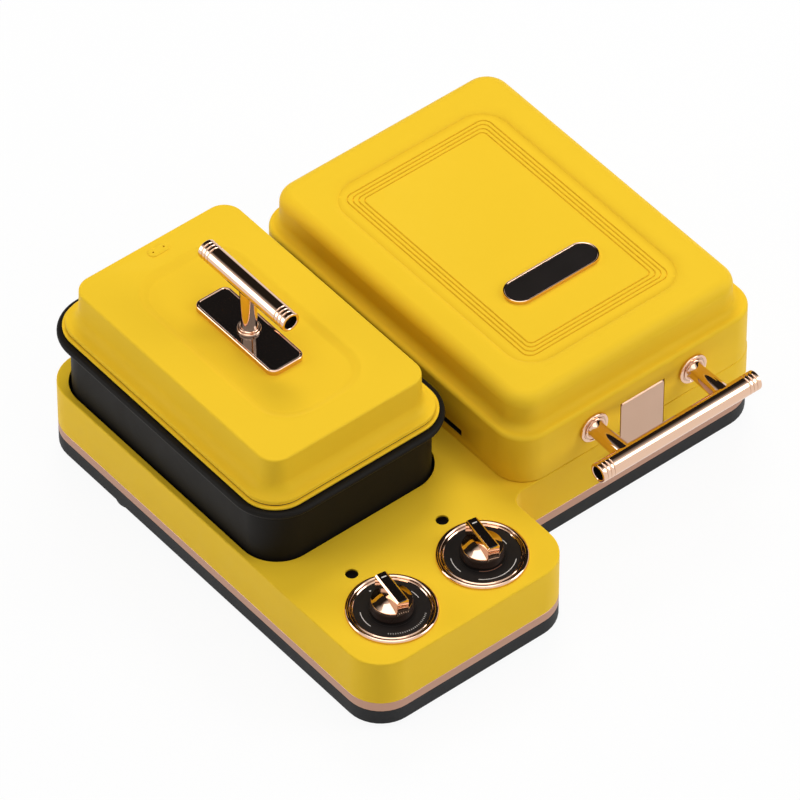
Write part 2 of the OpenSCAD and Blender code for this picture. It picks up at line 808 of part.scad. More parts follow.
// A dished cooking plate with its floor at the bottom, its flange's top at the height h, and ribs inside
module cooking_plate(h) {
    difference() {
        union() {
            slab(flange_w, flange_l, flange_r, h - flange_t, h);
            slab(basin_w, basin_l, basin_r, 0, h);
        }
        slab(basin_w - 2 * plate_t, basin_l - 2 * plate_t, basin_r - plate_t, plate_t, h + 1);
    }
    for (i = [0:ribs - 1])
        translate([0, (i - (ribs - 1) / 2) * rib_pitch, plate_t + rib_h / 2])
            cube([basin_w - 2 * plate_t - 2 * rib_end, rib_w, rib_h + eps], center = true);
}

module lower_plate() color("DarkSlateGray") at_press() difference() {
    translate([0, 0, lower_floor_z]) cooking_plate(deck_z + flange_t - lower_floor_z);
    for (x = [-plate_screw_x, plate_screw_x], y = [-plate_screw_y, plate_screw_y])
        translate([x, y, lower_floor_z - 1]) cylinder(r = boss_screw_r, h = plate_t);
}

module lower_element() color("SlateGray") at_press()
    element(press_element_w, press_element_l, lower_element_z, -press_pin_drop);

module lower_reflector() color("Silver") at_press() difference() {
    slab(tray_w, tray_l, tray_r, lower_tray_z, deck_z - wall);
    slab(tray_w - 2 * tray_t, tray_l - 2 * tray_t, tray_r - tray_t, lower_tray_z + tray_t, deck_z);
    for (x = [-plate_screw_x, plate_screw_x], y = [-plate_screw_y, plate_screw_y])
        translate([x, y, lower_tray_z - 1]) cylinder(r = screw_r, h = tray_t + 2);
    pin_holes(press_element_w, press_element_l, lower_tray_z + tray_t / 2);
}

module lower_plate_screws() color("Gainsboro") at_press()
    for (x = [-plate_screw_x, plate_screw_x], y = [-plate_screw_y, plate_screw_y]) translate([x, y, 0]) {
        translate([0, 0, lower_tray_z - screw_head_t]) cylinder(r = screw_head_r, h = screw_head_t);
        translate([0, 0, lower_tray_z - eps]) cylinder(r = screw_r, h = lower_floor_z - lower_tray_z);
        translate([0, 0, lower_floor_z - eps]) cylinder(r = boss_screw_r, h = plate_t / 2);
    }

module latch_keeper() color("Silver")
    translate([latch_x - keeper_w / 2, wall_y + pocket_d, keeper_z]) cube([keeper_w, keeper_t, keeper_h]);

module at_hinges() {
    for (s = [-1, 1]) translate([press_x + s * hinge_x, hinge_y, hinge_z]) rotate([0, 90, 0]) children();
}

module hinge_ears() color("Goldenrod") difference() {
    at_hinges() for (s = [-1, 1]) translate([0, 0, s * (knuckle_l + ear_t + 2 * knuckle_gap) / 2]) {
        cylinder(r = knuckle_r, h = ear_t, center = true);
        translate([hinge_rise / 2, 0, 0]) cube([hinge_rise, ear_foot_w, ear_t], center = true);
    }
    at_hinges() cylinder(r = hinge_pin_r, h = 2 * knuckle_l + 2 * ear_t, center = true);
}

module hinge_pins() color("Silver") at_hinges()
    cylinder(r = hinge_pin_r, h = knuckle_l + 2 * ear_t + 2 * knuckle_gap, center = true);

// Press lid

module panel_grooves() {
    for (i = [0:grooves - 1]) {
        inset = 2 * (groove_first + i * groove_step) - groove_w;
        r = groove_r - i * groove_r_step;
        difference() {
            slab(panel_w - inset, panel_l - inset, r, panel_z - groove_d, panel_z + 1);
            slab(panel_w - inset - 2 * groove_w, panel_l - inset - 2 * groove_w, r - groove_w,
                panel_z - 1, panel_z + 2);
        }
    }
}

module press_shell() color("Gold") difference() {
    union() {
        difference() {
            union() {
                at_press() soft_block(press_w, press_l, press_r, press_z, shoulder_z, shoulder_edge_r);
                at_press() translate([0, plateau_dy, 0])
                    soft_block(plateau_w, plateau_l, plateau_r, shoulder_z - 1, press_top_z, plateau_edge_r);
            }
            at_press() slab(press_w - 2 * wall, press_l - 2 * wall, press_r - wall, press_z - 1, shoulder_z - wall);
            at_press() translate([0, plateau_dy, 0])
                slab(plateau_w - 2 * plateau_t, plateau_l - 2 * plateau_t, plateau_r - plateau_t,
                    press_z, panel_z - panel_t);
        }
        pocket_backing(press_z, latch_top + pocket_block);
        at_press() at_bosses() translate([0, 0, liner_z + liner_t])
            cylinder(r = boss_r, h = shoulder_z - wall - liner_z - liner_t + eps);
    }
    at_press() translate([0, panel_dy, 0]) {
        slab(panel_w, panel_l, panel_r, panel_z, press_top_z + 1);
        panel_grooves();
    }
    at_press() at_bosses() translate([0, 0, press_z]) cylinder(r = boss_screw_r, h = boss_hole_d);
    latch_pocket(press_z - 1, latch_top + latch_gap);
    at_latch_pin() cylinder(r = latch_pin_r, h = pocket_w + 2 * latch_pin_in, center = true);
    translate([press_x - press_w / 2 - 1, press_y - side_recess_l / 2, press_z - 1])
        cube([side_recess_d + 1, side_recess_l, side_recess_h + 1]);
}

module press_liner() color("DarkSlateGray") at_press() difference() {
    slab(press_w - 2 * wall - 2 * liner_gap, press_l - 2 * wall - 2 * liner_gap, press_r - wall - liner_gap,
        liner_z, liner_z + liner_t);
    slab(open_w, open_l, open_r, liner_z - 1, liner_z + liner_t + 1);
    at_bosses() translate([0, 0, liner_z - 1]) cylinder(r = screw_r, h = liner_t + 2);
    translate([handle_dx - pocket_w / 2 - pocket_block - 1, -press_l / 2 - 1, liner_z - 1])
        cube([pocket_w + 2 * pocket_block + 2, pocket_d + pocket_back_t + 2, liner_t + 2]);
}

module upper_plate() color("DarkSlateGray") at_press()
    translate([0, 0, upper_flange_z + upper_basin_h]) mirror([0, 0, 1]) cooking_plate(upper_basin_h);

module upper_element() color("SlateGray") at_press()
    element(press_element_w, press_element_l, upper_element_z, press_pin_drop);

module upper_reflector() color("Silver") at_press() difference() {
    slab(tray_w, tray_l, tray_r, liner_z + liner_t, upper_tray_z);
    slab(tray_w - 2 * tray_t, tray_l - 2 * tray_t, tray_r - tray_t, liner_z, upper_tray_z - tray_t);
    pin_holes(press_element_w, press_element_l, upper_tray_z - tray_t / 2);
}

module liner_screws() color("Gainsboro") at_press() at_bosses() {
    translate([0, 0, liner_z - screw_head_t / 2]) cylinder(r = screw_head_r, h = screw_head_t / 2);
    translate([0, 0, liner_z - eps]) cylinder(r = screw_r, h = liner_t);
    translate([0, 0, liner_z + liner_t - 2 * eps]) cylinder(r = boss_screw_r, h = boss_screw_l);
}

module hinge_arms() color("Goldenrod") difference() {
    for (s = [-1, 1]) {
        translate([press_x + s * hinge_x - knuckle_l / 2, press_back, hinge_z - arm_down])
            cube([knuckle_l, hinge_y - press_back, arm_up + arm_down]);
        translate([press_x + s * hinge_x, hinge_y, hinge_z]) rotate([0, 90, 0])
            cylinder(r = knuckle_r, h = knuckle_l, center = true);
    }
    at_hinges() cylinder(r = hinge_pin_r + hinge_fit, h = 2 * knuckle_l, center = true);
}

module handle_posts() color("Tan") difference() {
    for (s = [-1, 1]) translate([latch_x + s * post_pitch / 2, wall_y, handle_z]) rotate([90, 0, 0]) {
        cylinder(r = front_flange_r, h = front_flange_t);
        cylinder(r1 = front_post_r1, r2 = front_post_r2, h = handle_out);
    }
    translate([latch_x, wall_y - handle_out, handle_z]) rotate([0, 90, 0])
        cylinder(r = bar_r, h = handle_l, center = true);
}

module handle_bar() color("Tan")
    translate([latch_x, wall_y - handle_out, handle_z]) rotate([0, 90, 0]) grip_bar(handle_l);

module badge_plan(i) { rounded(badge_w - 2 * i, badge_l - 2 * i, badge_l / 2 - i - eps); }

module badge_rim() color("Tan") at_press() translate([0, badge_dy, panel_z])
    linear_extrude(badge_rise) difference() {
        badge_plan(0);
        badge_plan(badge_border);
    }

module badge_face() color("Black") at_press() translate([0, badge_dy, panel_z])
    linear_extrude(badge_face_rise) badge_plan(badge_border);

module latch_pin() color("Silver") at_latch_pin()
    cylinder(r = latch_pin_r, h = pocket_w + 2 * latch_pin_in, center = true);

// Latch

module latch_plate() color("Tan") difference() {
    union() {
        translate([latch_x - latch_w / 2, latch_y - latch_t / 2, latch_z0])
            cube([latch_w, latch_t, latch_pivot_z - latch_z0]);
        at_latch_pin() cylinder(r = latch_t / 2, h = latch_w, center = true);
    }
    at_latch_pin() cylinder(r = latch_pin_r + latch_pin_fit, h = latch_w + 2, center = true);
}

// Controls

module dial_ring() {
    edge_z = deck_z + ring_h - ring_edge_r;
    rotate_extrude() intersection() {
        translate([dial_face_r, deck_z]) square([dial_ring_r - dial_face_r, ring_h]);
        union() {
            translate([dial_face_r, 0]) square([dial_ring_r - dial_face_r, edge_z]);
            translate([dial_face_r + ring_edge_r, 0]) square([dial_ring_r - dial_face_r - 2 * ring_edge_r, 2 * deck_z]);
            translate([dial_face_r + ring_edge_r, edge_z]) circle(ring_edge_r);
            translate([dial_ring_r - ring_edge_r, edge_z]) circle(ring_edge_r);
        }
    }
}

module dial_plate() { ring(dial_face_r, face_hole_r, deck_z, deck_z + face_t); }

module control() {
    difference() {
        union() {
            translate([-control_w / 2, -control_w / 2, control_z]) cube([control_w, control_w, control_h]);
            translate([0, 0, control_z]) cylinder(r = bush_r, h = deck_z + face_t / 2 - control_z);
            translate([0, 0, deck_z - wall - flange_nut_t]) cylinder(r = flange_nut_r, h = flange_nut_t);
        }
        translate([0, 0, shaft_z0 - 1]) cylinder(r = shaft_r + shaft_fit, h = deck_z);
    }
}

module shaft() {
    translate([0, 0, shaft_z0]) cylinder(r = shaft_r, h = cap_z - shaft_z0);
}

module knob_skirt() {
    difference() {
        rotate_extrude() {
            translate([0, skirt_z]) square([knob_r, skirt_h - skirt_edge_r]);
            translate([0, skirt_z]) square([knob_r - skirt_edge_r, skirt_h]);
            translate([knob_r - skirt_edge_r, cap_z - skirt_edge_r]) circle(skirt_edge_r);
        }
        translate([0, 0, skirt_z - 1]) cylinder(r = shaft_r, h = skirt_h + 2);
    }
}

module knob_cap() {
    difference() {
        union() {
            intersection() {
                translate([0, 0, cap_z + cap_h - 2 * knob_r]) sphere(2 * knob_r);
                translate([0, 0, cap_z]) cylinder(r = knob_r - cap_in, h = cap_h);
            }
            rotate([0, 0, pointer_turn])
                translate([-grip_w / 2, -grip_len / 2, cap_z]) cube([grip_w, grip_len, knob_top - cap_z]);
        }
        rotate([0, 0, pointer_turn]) translate([-inlay_w / 2, -grip_len / 2 - 1, knob_top - inlay_t])
            cube([inlay_w, grip_len + 2, inlay_t + 1]);
    }
}

module knob_inlay() {
    rotate([0, 0, pointer_turn]) translate([-inlay_w / 2, -grip_len / 2, knob_top - inlay_t])
        cube([inlay_w, grip_len, inlay_t]);
}

module lens() {
    translate([0, 0, deck_z - lens_sink - lens_t]) cylinder(r = lamp_r - lens_fit, h = lens_t);
}

module left_dial_ring() color("Tan") at_dial(0) dial_ring();
module right_dial_ring() color("Tan") at_dial(1) dial_ring();
module left_dial_plate() color("Black") at_dial(0) dial_plate();
module right_dial_plate() color("Black") at_dial(1) dial_plate();
module thermostat() color("SlateGray") at_dial(0) control();
module timer() color("SlateGray") at_dial(1) control();
module left_lamp_lens() color("Black") at_lamp(0) lens();
module right_lamp_lens() color("Black") at_lamp(1) lens();
module left_shaft() color("Silver") at_dial(0) shaft();
module right_shaft() color("Silver") at_dial(1) shaft();
module left_skirt() color("SaddleBrown") at_dial(0) knob_skirt();
module right_skirt() color("SaddleBrown") at_dial(1) knob_skirt();
module left_cap() color("Tan") at_dial(0) knob_cap();
module right_cap() color("Tan") at_dial(1) knob_cap();
module left_inlay() color("Black") at_dial(0) knob_inlay();
module right_inlay() color("Black") at_dial(1) knob_inlay();

module lamp_board() color("ForestGreen") {
    translate([dial_x + dial_pitch / 2 - board_w / 2, lamp_y - board_l / 2, board_z])
        cube([board_w, board_l, board_t]);
    for (n = [0, 1]) at_lamp(n) translate([0, 0, board_z + board_t - eps]) cylinder(r = bulb_r, h = bulb_h);
}

// Electrics at the back

module terminal_block() color("WhiteSmoke") at_press()
    translate([terminal_in_x - press_w / 2, press_l / 2 - terminal_in_y, shell_z + shell_floor]) difference() {
        translate([-terminal_w / 2, -terminal_l / 2, 0]) cube([terminal_w, terminal_l, terminal_h]);
        for (i = [0:terminal_screws - 1])
            translate([(i - 1) * terminal_w / terminal_screws, 0, terminal_h / 2]) cylinder(r = screw_r, h = terminal_h);
    }

module cord_gland() color("DarkSlateGray") translate([gland_x, 0, gland_z]) rotate([90, 0, 0]) difference() {
    union() {
        translate([0, 0, -back_y - gland_out]) cylinder(r = gland_flange_r, h = gland_out);
        translate([0, 0, -back_y - eps]) cylinder(r = gland_r, h = gland_in);
        translate([0, 0, -back_y + wall]) cylinder(r = gland_nut_r, h = gland_nut_t);
    }
    translate([0, 0, -back_y - gland_out - 1]) cylinder(r = gland_bore_r, h = gland_out + gland_in + 2);
}

upper_housing();
trim_band();
bottom_shell();
feet();
base_screws();
well_liner();
pot_hotplate();
pot_element();
probe_sleeve();
probe_plunger();
probe_spring();
pot();
pot_lid_shell();
pot_lid_seal();
pot_lid_rim();
steam_vent();
handle_plate_rim();
handle_plate();
lid_handle_post();
lid_handle_bar();
lid_handle_screw();
lower_plate();
lower_element();
lower_reflector();
lower_plate_screws();
latch_keeper();
hinge_ears();
hinge_pins();
press_shell();
press_liner();
upper_plate();
upper_element();
upper_reflector();
liner_screws();
hinge_arms();
handle_posts();
handle_bar();
badge_rim();
badge_face();
latch_pin();
latch_plate();
left_dial_ring();
right_dial_ring();
left_dial_plate();
right_dial_plate();
thermostat();
timer();
left_lamp_lens();
right_lamp_lens();
lamp_board();
left_shaft();
right_shaft();
left_skirt();
right_skirt();
left_cap();
right_cap();
left_inlay();
right_inlay();
terminal_block();
cord_gland();
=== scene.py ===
"""Dresses the countertop cooker: a pot station and a hinged press on one low L-shaped base.

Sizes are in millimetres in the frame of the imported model, with the front at -Y and the table at Z = 0.
"""

import json
import logging
import math
from dataclasses import dataclass
from enum import Enum
from typing import Callable, Sequence

import bmesh
import bpy
from mathutils import Matrix, Vector

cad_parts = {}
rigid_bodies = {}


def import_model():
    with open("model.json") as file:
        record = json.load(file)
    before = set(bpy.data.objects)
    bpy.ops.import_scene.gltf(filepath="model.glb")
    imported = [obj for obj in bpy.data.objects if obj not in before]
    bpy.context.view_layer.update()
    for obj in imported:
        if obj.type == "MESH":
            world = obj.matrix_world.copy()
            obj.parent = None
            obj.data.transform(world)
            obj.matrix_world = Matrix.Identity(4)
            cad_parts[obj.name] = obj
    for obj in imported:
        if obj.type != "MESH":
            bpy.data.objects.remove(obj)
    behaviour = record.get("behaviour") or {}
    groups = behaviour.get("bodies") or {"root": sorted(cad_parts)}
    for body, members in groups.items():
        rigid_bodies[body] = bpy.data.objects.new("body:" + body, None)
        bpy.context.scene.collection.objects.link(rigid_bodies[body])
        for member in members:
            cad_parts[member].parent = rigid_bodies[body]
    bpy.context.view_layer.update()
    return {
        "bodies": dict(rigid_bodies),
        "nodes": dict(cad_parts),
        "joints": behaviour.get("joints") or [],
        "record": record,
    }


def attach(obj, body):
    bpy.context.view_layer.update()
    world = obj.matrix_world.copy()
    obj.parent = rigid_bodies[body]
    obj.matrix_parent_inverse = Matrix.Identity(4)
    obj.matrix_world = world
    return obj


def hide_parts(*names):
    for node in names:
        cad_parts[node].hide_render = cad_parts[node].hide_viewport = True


MM = 0.001
LOG = logging.getLogger("cooker")
Ring = list[bmesh.types.BMEdge]
Point = tuple[float, float]
Color = tuple[float, float, float]
Link = tuple[bpy.types.Node, str | int]
Feed = float | Color | Link

# Places and heights that more than one sub-assembly shares
POT_CENTRE: Point = (-95.75, 42.8)
PRESS_CENTRE: Point = (74.55, 22.5)
DIAL_SPOTS: tuple[Point, Point] = ((-125.45, -119.3), (-60.75, -119.3))
LAMP_Y = -84.2
DECK_Z = 52.5
FRONT_WALL_Y = -94.9
LATCH_X = 75.95
POCKET_W = 32.6
POCKET_D = 4.2

PAST = 1.0  # how far a tool or a boss reaches past the surface that it meets
SUNK = 0.5  # how far a block that is joined on sinks into its wall
NEAR = 0.05  # slack where faces are picked by their place
SECOND = 1  # material index of the faces that take a piece's second finish


class Slot(Enum):
    """Material slots of the record."""

    YELLOW_SHELL = "yellow_shell"
    COPPER_BAND = "copper_band"
    DARK_SHELL = "dark_shell"
    FOOT_RUBBER = "foot_rubber"
    ROSE_GOLD = "rose_gold"
    LATCH_METAL = "latch_metal"
    BLACK_GLOSS = "black_gloss"
    BROWN_GLOSS = "brown_gloss"
    LAMP_DARK = "lamp_dark"
    COATED_CAST = "coated_cast"
    CAST_ALLOY = "cast_alloy"
    POT_COAT = "pot_coat"
    STEEL = "steel"
    ELEMENT_STEEL = "element_steel"
    SEAL_RUBBER = "seal_rubber"
    LINER_PLASTIC = "liner_plastic"
    CONTROL_BODY = "control_body"
    BOARD_GREEN = "board_green"
    TERMINAL_WHITE = "terminal_white"


class Carve(Enum):
    """Ways in which one shape works on another."""

    CUT = "DIFFERENCE"
    JOIN = "UNION"


class Facing(Enum):
    """Ways a shape drawn along Z can point, each with the turn that brings it there."""

    UP = (0.0, "Z")
    RIGHT = (math.pi / 2, "Y")
    FRONT = (math.pi / 2, "X")
    BACK = (-math.pi / 2, "X")

    def matrix(self, place: Sequence[float]) -> Matrix:
        """Return the turn, followed by the slide to a place."""
        return Matrix.Translation(place) @ Matrix.Rotation(self.value[0], 4, self.value[1])


class Body(Enum):
    """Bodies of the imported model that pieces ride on."""

    BASE = "base"
    PRESS_LID = "press_lid"
    LATCH = "latch"
    LEFT_KNOB = "left_knob"
    RIGHT_KNOB = "right_knob"
    POT = "pot"
    POT_LID = "pot_lid"


def srgb(red: int, green: int, blue: int) -> Color:
    """Turn a colour of 0 to 255 into linear values."""
    return tuple(((c / 255 + 0.055) / 1.055) ** 2.4 if c > 10 else c / 255 / 12.92 for c in (red, green, blue))


def arc(centre: Point, radius: float, start: float, end: float, steps: int) -> list[Point]:
    """List points on an arc.

    Args:
        centre: The arc's centre.
        radius: Its radius.
        start: First angle, in degrees.
        end: Last angle, in degrees.
        steps: Number of chords.

    Returns:
        The points, both ends included.
    """
    angles = [math.radians(start + (end - start) * i / steps) for i in range(steps + 1)]
    return [(centre[0] + radius * math.cos(a), centre[1] + radius * math.sin(a)) for a in angles]


def blend(a: float, b: float, t: float) -> float:
    """Return the value that lies t of the way from a to b."""
    return a + (b - a) * t


# Materials


class Wires:
    """Adds and links nodes in one tree."""

    def __init__(self, tree: bpy.types.NodeTree) -> None:
        """Keep the tree to work in."""
        self.tree = tree

    def feed(self, node: bpy.types.Node, sockets: dict[str | int, Feed]) -> None:
        """Set inputs to numbers or colours, or link them to other nodes' outputs.

        Args:
            node: The node.
            sockets: What feeds its inputs, by their names or numbers.
        """
        for socket, value in sockets.items():
            if isinstance(value, tuple) and isinstance(value[0], bpy.types.Node):
                self.tree.links.new(value[0].outputs[value[1]], node.inputs[socket])
            else:
                node.inputs[socket].default_value = value

    def add(self, kind: str, sockets: dict[str | int, Feed] | None = None, output: str | int = 0,
            **settings: str | bool | bpy.types.NodeTree) -> Link:
        """Add a node.

        Args:
            kind: Its type, without the leading ShaderNode.
            sockets: What feeds its inputs.
            output: The output that the link names.
            settings: The node's own properties.

        Returns:
            The node with its output, ready to feed another node.
        """
        node = self.tree.nodes.new("ShaderNode" + kind)
        for name, value in settings.items():
            setattr(node, name, value)
        self.feed(node, sockets or {})
        return node, output

    def math(self, operation: str, *values: float | Link, clamp: bool = False) -> Link:
        """Add a math node, fed with numbers or links in order."""
        return self.add("Math", dict(enumerate(values)), operation=operation, use_clamp=clamp)

    def ramp(self, value: Link, start: float, end: float, smooth: bool = False, **sockets: Link) -> Link:
        """Add a step that rises from start to end.

        Args:
            value: What the step reads.
            start: Value at its foot.
            end: Value at its top, which may be the lower of the two.
            smooth: Whether it eases in and out.
            sockets: Links for the heights of foot and top, by socket name with _ for a space.

        Returns:
            The step's result.
        """
        heights = {name.replace("_", " "): link for name, link in sockets.items()}
        return self.add("MapRange", {"Value": value, "From Min": start, "From Max": end, **heights},
                        interpolation_type="SMOOTHSTEP" if smooth else "LINEAR")

    def noise(self, source: bpy.types.Node, **sockets: Feed) -> Link:
        """Add noise, fed with a group's own vector and scale and with further values."""
        return self.add("TexNoise", {"Vector": (source, "Vector"), "Scale": (source, "Scale"), **sockets})

    def mix(self, mask: Link, low: Color | Link, high: Color) -> Link:
        """Mix two colours by a mask.

        Args:
            mask: The factor.
            low: Colour where the mask is 0.
            high: Colour where the mask is 1.

        Returns:
            The mixed colour.
        """
        first = low if isinstance(low[0], bpy.types.Node) else (*low, 1.0)
        return self.add("Mix", {0: mask, 6: first, 7: (*high, 1.0)}, 2, data_type="RGBA")

    def choose(self, factor: Link, no: Link, yes: Link) -> Link:
        """Mix two shaders, the first where the factor is 0 and the second where it is 1."""
        return self.add("MixShader", {0: factor, 1: no, 2: yes})

    def effect(self, shared: "Effect", vector: Link, **sockets: float) -> Link:
        """Place a shared effect, fed with a vector and its own values."""
        return self.add("Group", {"Vector": vector, **sockets}, node_tree=shared.get())


@dataclass
class Effect:
    """A shader node group that the finishes share, built on its first use."""

    name: str
    output: str
    inputs: dict[str, float]
    draw: Callable[[Wires, bpy.types.Node], Link]
    tree: bpy.types.NodeTree | None = None

    def get(self) -> bpy.types.NodeTree:
        """Build the group if need be, with a vector and its numbers as inputs.

        Returns:
            The group.
        """
        if self.tree is None:
            tree = self.tree = bpy.data.node_groups.new(self.name, "ShaderNodeTree")
            tree.interface.new_socket(name="Vector", in_out="INPUT", socket_type="NodeSocketVector")
            for name, value in self.inputs.items():
                made = tree.interface.new_socket(name=name, in_out="INPUT", socket_type="NodeSocketFloat")
                made.default_value = value
            tree.interface.new_socket(name=self.output, in_out="OUTPUT", socket_type="NodeSocketFloat")
            source, sink = tree.nodes.new("NodeGroupInput"), tree.nodes.new("NodeGroupOutput")
            wires = Wires(tree)
            wires.feed(sink, {self.output: self.draw(wires, source)})
        return self.tree


def draw_grain(wires: Wires, source: bpy.types.Node) -> Link:
    """Draw two sizes of bumps, as fine moulded or sprayed grain."""
    wide = wires.noise(source, Scale=wires.math("MULTIPLY", (source, "Scale"), 0.13), Detail=1.0)
    return wires.math("ADD", wires.noise(source, Detail=2.0, Roughness=0.6),
                      wires.math("MULTIPLY", wide, (source, "Coarse")))


def draw_mottle(wires: Wires, source: bpy.types.Node) -> Link:
    """Draw the slow change of colour over a surface."""
    centred = wires.math("SUBTRACT", wires.noise(source, Detail=4.0, Roughness=0.55, Distortion=0.4), 0.5)
    return wires.math("ADD", wires.math("MULTIPLY", centred, (source, "Contrast")), 0.5, clamp=True)


def draw_bend(wires: Wires, source: bpy.types.Node, start: float, end: float, patches: Link) -> Link:
    """Draw a mask that follows how sharply the surface bends.

    Args:
        wires: The tree to work in.
        source: The group's input node.
        start: Pointiness from which the mask shows, with 0.5 for a flat surface.
        end: Pointiness at which it is full.
        patches: Noise that breaks it up.

    Returns:
        The mask.
    """
    bent = wires.ramp(wires.add("NewGeometry", output="Pointiness"), start, end)
    return wires.math("MULTIPLY", wires.math("MULTIPLY", bent, patches), (source, "Amount"), clamp=True)


def draw_edge_wear(wires: Wires, source: bpy.types.Node) -> Link:
    """Draw rubbed outer edges, broken up by noise."""
    return draw_bend(wires, source, 0.52, 0.62, wires.noise(source, Detail=3.0))


def draw_painted_crease_shade(wires: Wires, source: bpy.types.Node) -> Link:
    """Draw painted shade in hollows and inner corners, broken up by noise."""
    patches = wires.math("MULTIPLY_ADD", wires.noise(source, Detail=2.0), 0.3, 0.85)
    return draw_bend(wires, source, 0.495, 0.44, patches)


def draw_handling(wires: Wires, source: bpy.types.Node) -> Link:
    """Draw the uneven gloss of a handled, wiped surface."""
    cloud = wires.noise(source, Detail=5.0, Roughness=0.65, Distortion=0.8)
    return wires.ramp(cloud, 0.3, 0.7, To_Min=(source, "Low"), To_Max=(source, "High"))


def draw_brushing(wires: Wires, source: bpy.types.Node) -> Link:
    """Draw the fine parallel lines of brushed metal, along the axis that the vector stretches."""
    return wires.noise(source, Detail=3.0, Roughness=0.7)


GRAIN = Effect("grain", "Height", {"Scale": 900.0, "Coarse": 0.35}, draw_grain)
MOTTLE = Effect("mottle", "Mask", {"Scale": 14.0, "Contrast": 1.0}, draw_mottle)
EDGE_WEAR = Effect("edge_wear", "Mask", {"Scale": 160.0, "Amount": 0.3}, draw_edge_wear)
# Painted shade: darkens hollows and inner corners, where the surface bends inwards
PAINTED_CREASE_SHADE = Effect("painted_crease_shade", "Mask", {"Scale": 60.0, "Amount": 0.5}, draw_painted_crease_shade)
HANDLING = Effect("handling", "Roughness", {"Scale": 30.0, "Low": 0.3, "High": 0.4}, draw_handling)
BRUSHING = Effect("brushing", "Height", {"Scale": 600.0}, draw_brushing)


@dataclass(frozen=True)
class Finish:
    """A surface finish: colour, gloss, grain, slow colour change, rubbed edges and painted shade in hollows."""

    name: str
    color: Color
    shade: Color
    metallic: float = 0.0
    rough_low: float = 0.34
    rough_high: float = 0.42
    coat: float = 0.0
    coat_rough: float = 0.05
    specular: float = 0.5
    ior: float = 1.5
    coat_ior: float = 1.5
    mottle_scale: float = 14.0
    mottle_contrast: float = 1.2
    grain_scale: float = 900.0
    grain_depth: float = 0.00004
    grain_strength: float = 0.25
    wear: float = 0.0
    wear_color: Color = (0.8, 0.8, 0.8)
    # painted shade in hollows and inner corners: its strength (hollow) and its colour
    hollow: float = 0.3
    painted_crease_shade_color: Color = (0.02, 0.018, 0.016)
    stretch: tuple[float, float, float] = (1.0, 1.0, 1.0)
    brushed: bool = False

    def build(self) -> bpy.types.Material:
        """Build the node material of this finish.

        Returns:
            The material.
        """
        material = bpy.data.materials.new(self.name)
        material.use_nodes = True
        wires = Wires(material.node_tree)
        place = wires.add("Mapping", {"Vector": wires.add("TexCoord", output="Object"), "Scale": self.stretch})
        cloud = wires.effect(MOTTLE, place, Scale=self.mottle_scale, Contrast=self.mottle_contrast)
        tint = wires.mix(cloud, self.shade, self.color)
        worn = wires.mix(wires.effect(EDGE_WEAR, place, Amount=self.wear), tint, self.wear_color)
        # painted shade: hollows and inner corners are darkened towards the painted shade colour
        shaded = wires.mix(wires.effect(PAINTED_CREASE_SHADE, place, Amount=self.hollow), worn, self.painted_crease_shade_color)
        gloss = wires.effect(HANDLING, place, Low=self.rough_low, High=self.rough_high)
        relief = wires.effect(BRUSHING if self.brushed else GRAIN, place, Scale=self.grain_scale)
        bump = wires.add("Bump", {"Height": relief, "Strength": self.grain_strength, "Distance": self.grain_depth})
        wires.feed(material.node_tree.nodes["Principled BSDF"], {
            "Base Color": shaded, "Roughness": gloss, "Normal": bump, "Metallic": self.metallic,
            "Coat Weight": self.coat, "Coat Roughness": self.coat_rough, "Coat IOR": self.coat_ior,
            "Specular IOR Level": self.specular, "IOR": self.ior})
        return material


